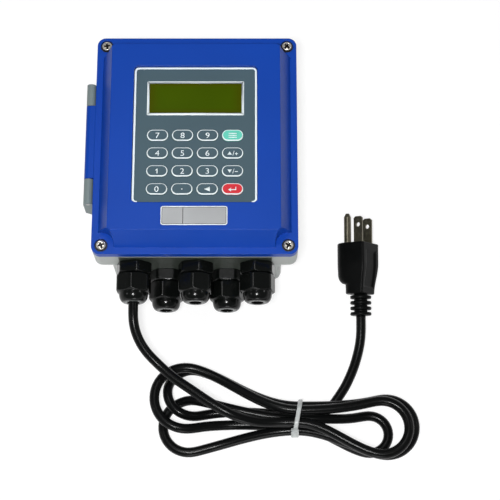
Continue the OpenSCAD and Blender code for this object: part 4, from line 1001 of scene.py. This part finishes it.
def setAtPlaces(name, one, places, turns, finish):
    mesh = bpy.data.meshes.new(name)
    mesh.from_pydata([Vector(p) * mm for p in places], [], [])
    attribute = mesh.attributes.new("turn", "FLOAT_VECTOR", "POINT")
    for k, t in enumerate(turns):
        attribute.data[k].vector = (0, 0, t)
    obj = linkMesh(name, mesh)
    m = obj.modifiers.new("places", "NODES")
    m.node_group = placeTree(one)
    ids = {s.name: s.identifier for s in m.node_group.interface.items_tree if s.in_out == "INPUT"}
    m[ids["Size"]] = 1.0
    m[ids["Finish"]] = finishes[finish]
    bpy.context.view_layer.update()
    applyModifiers(obj)
    bpy.data.objects.remove(one)
    return obj


x, y = screwSetup["x"], screwSetup["y"]
lidScrews = setAtPlaces("lidScrews", screwMesh(screwSetup), [(-x, -y, 0), (x, -y, 0), (x, y, 0), (-x, y, 0)],
                        screwSetup["turns"], "screwHead")
for p in lidScrews.data.polygons:
    p.use_smooth = 0.2 < p.normal.z < 0.995
addPiece(lidScrews, "screwHead", "lid", ("lid_screws",))
print("stage: screws")


# Stage: pale floor that keeps the shadow, dim room, lamps above, in front and beside
stageSetup = {"floorLevel": -0.0004,
              "sweep": [(3.0, 0.0), (8.0, 0.0), (9.0, 0.1), (9.8, 0.4), (10.4, 0.9), (10.8, 1.6)],
              "floorSides": 96, "floorColour": 0.28, "floorBounce": 0.8, "floorSeen": 0.77, "floorRough": 0.9,
              "worldLow": 0.22, "worldHigh": 0.16, "worldFade": (0.1, 0.85), "worldStrength": 1.0}
lampSetup = {
    "overhead": {"place": (-0.03, -0.42, 1.12), "size": 0.15, "power": 10.0},
    "ceiling": {"place": (-0.10, 0.22, 1.1), "size": 0.26, "power": 1.1},
    "front": {"place": (0.05, -1.0, 0.16), "size": 0.3, "power": 1.3},
    "sideLeft": {"place": (-0.95, -0.25, 0.85), "size": 0.15, "power": 0.55},
    "sideRight": {"place": (1.0, 0.1, 0.75), "size": 0.15, "power": 0.5},
}
lampAim = (0.02, -0.06, 0.03)


def seenDirectly(t):
    # 1 where the camera, a reflection or a look through glass meets the surface
    rays = addNode(t, "ShaderNodeLightPath").outputs
    direct = maths(t, "MAXIMUM", rays["Is Camera Ray"], rays["Is Glossy Ray"])
    return maths(t, "MAXIMUM", direct, rays["Is Transmission Ray"])


def buildFloor(s):
    # a flat disc that sweeps up far away, so that low views still end on paper
    bm = bmesh.new()
    middle = bm.verts.new((0, 0, s["floorLevel"]))
    circle = unitCircle(s["floorSides"])
    rings = [[bm.verts.new((r * x, r * y, s["floorLevel"] + up)) for x, y in circle] for r, up in s["sweep"]]
    for k in range(s["floorSides"]):
        j = (k + 1) % s["floorSides"]
        bm.faces.new((middle, rings[0][k], rings[0][j]))
        for a, b in zip(rings, rings[1:]):
            bm.faces.new((a[k], b[k], b[j], a[j]))
    floor = linkMesh("floor", meshFromBm("floor", bm))
    m, t, skin = startMaterial("paperFloor", Roughness=s["floorRough"], Specular_IOR_Level=0.0)
    seen = seenDirectly(t)
    setInputs(skin, Base_Color=mixColour(t, seen, (s["floorBounce"],) * 3, (s["floorColour"],) * 3))
    glow = addNode(t, "ShaderNodeEmission", Strength=mapRange(t, seen, 0.0, 1.0, 0.0, s["floorSeen"]))
    both = addNode(t, "ShaderNodeAddShader")
    for socket, source in zip(both.inputs, (skin.outputs["BSDF"], glow.outputs["Emission"])):
        feed(socket, source)
    setInputs(t.nodes["Material Output"], Surface=both.outputs["Shader"])
    floor.data.materials.append(m)


def buildRoom(s):
    # a little brighter low down than overhead, where the camera stands
    world = bpy.data.worlds.new("paleRoom")
    world.use_nodes = True
    t = world.node_tree
    t.nodes.clear()
    split = addNode(t, "ShaderNodeSeparateXYZ", Vector=addNode(t, "ShaderNodeTexCoord").outputs["Generated"])
    fade = mapRange(t, split.outputs["Z"], *s["worldFade"])
    colour = mixColour(t, fade, (s["worldLow"],) * 3, (s["worldHigh"],) * 3)
    light = addNode(t, "ShaderNodeBackground", Color=colour, Strength=s["worldStrength"])
    addNode(t, "ShaderNodeOutputWorld", Surface=light.outputs["Background"])
    scene.world = world


def buildLamps(lamps):
    for name, s in lamps.items():
        data = bpy.data.lights.new(name, "AREA")
        data.shape = "DISK"
        data.size = s["size"]
        data.energy = s["power"]
        lamp = bpy.data.objects.new(name, data)
        lamp.location = s["place"]
        lamp.rotation_mode = "QUATERNION"
        lamp.rotation_quaternion = (Vector(lampAim) - Vector(s["place"])).to_track_quat("-Z", "Y")
        scene.collection.objects.link(lamp)


buildFloor(stageSetup)
buildRoom(stageSetup)
buildLamps(lampSetup)
print("stage: floor and lamps")

bpy.context.view_layer.update()
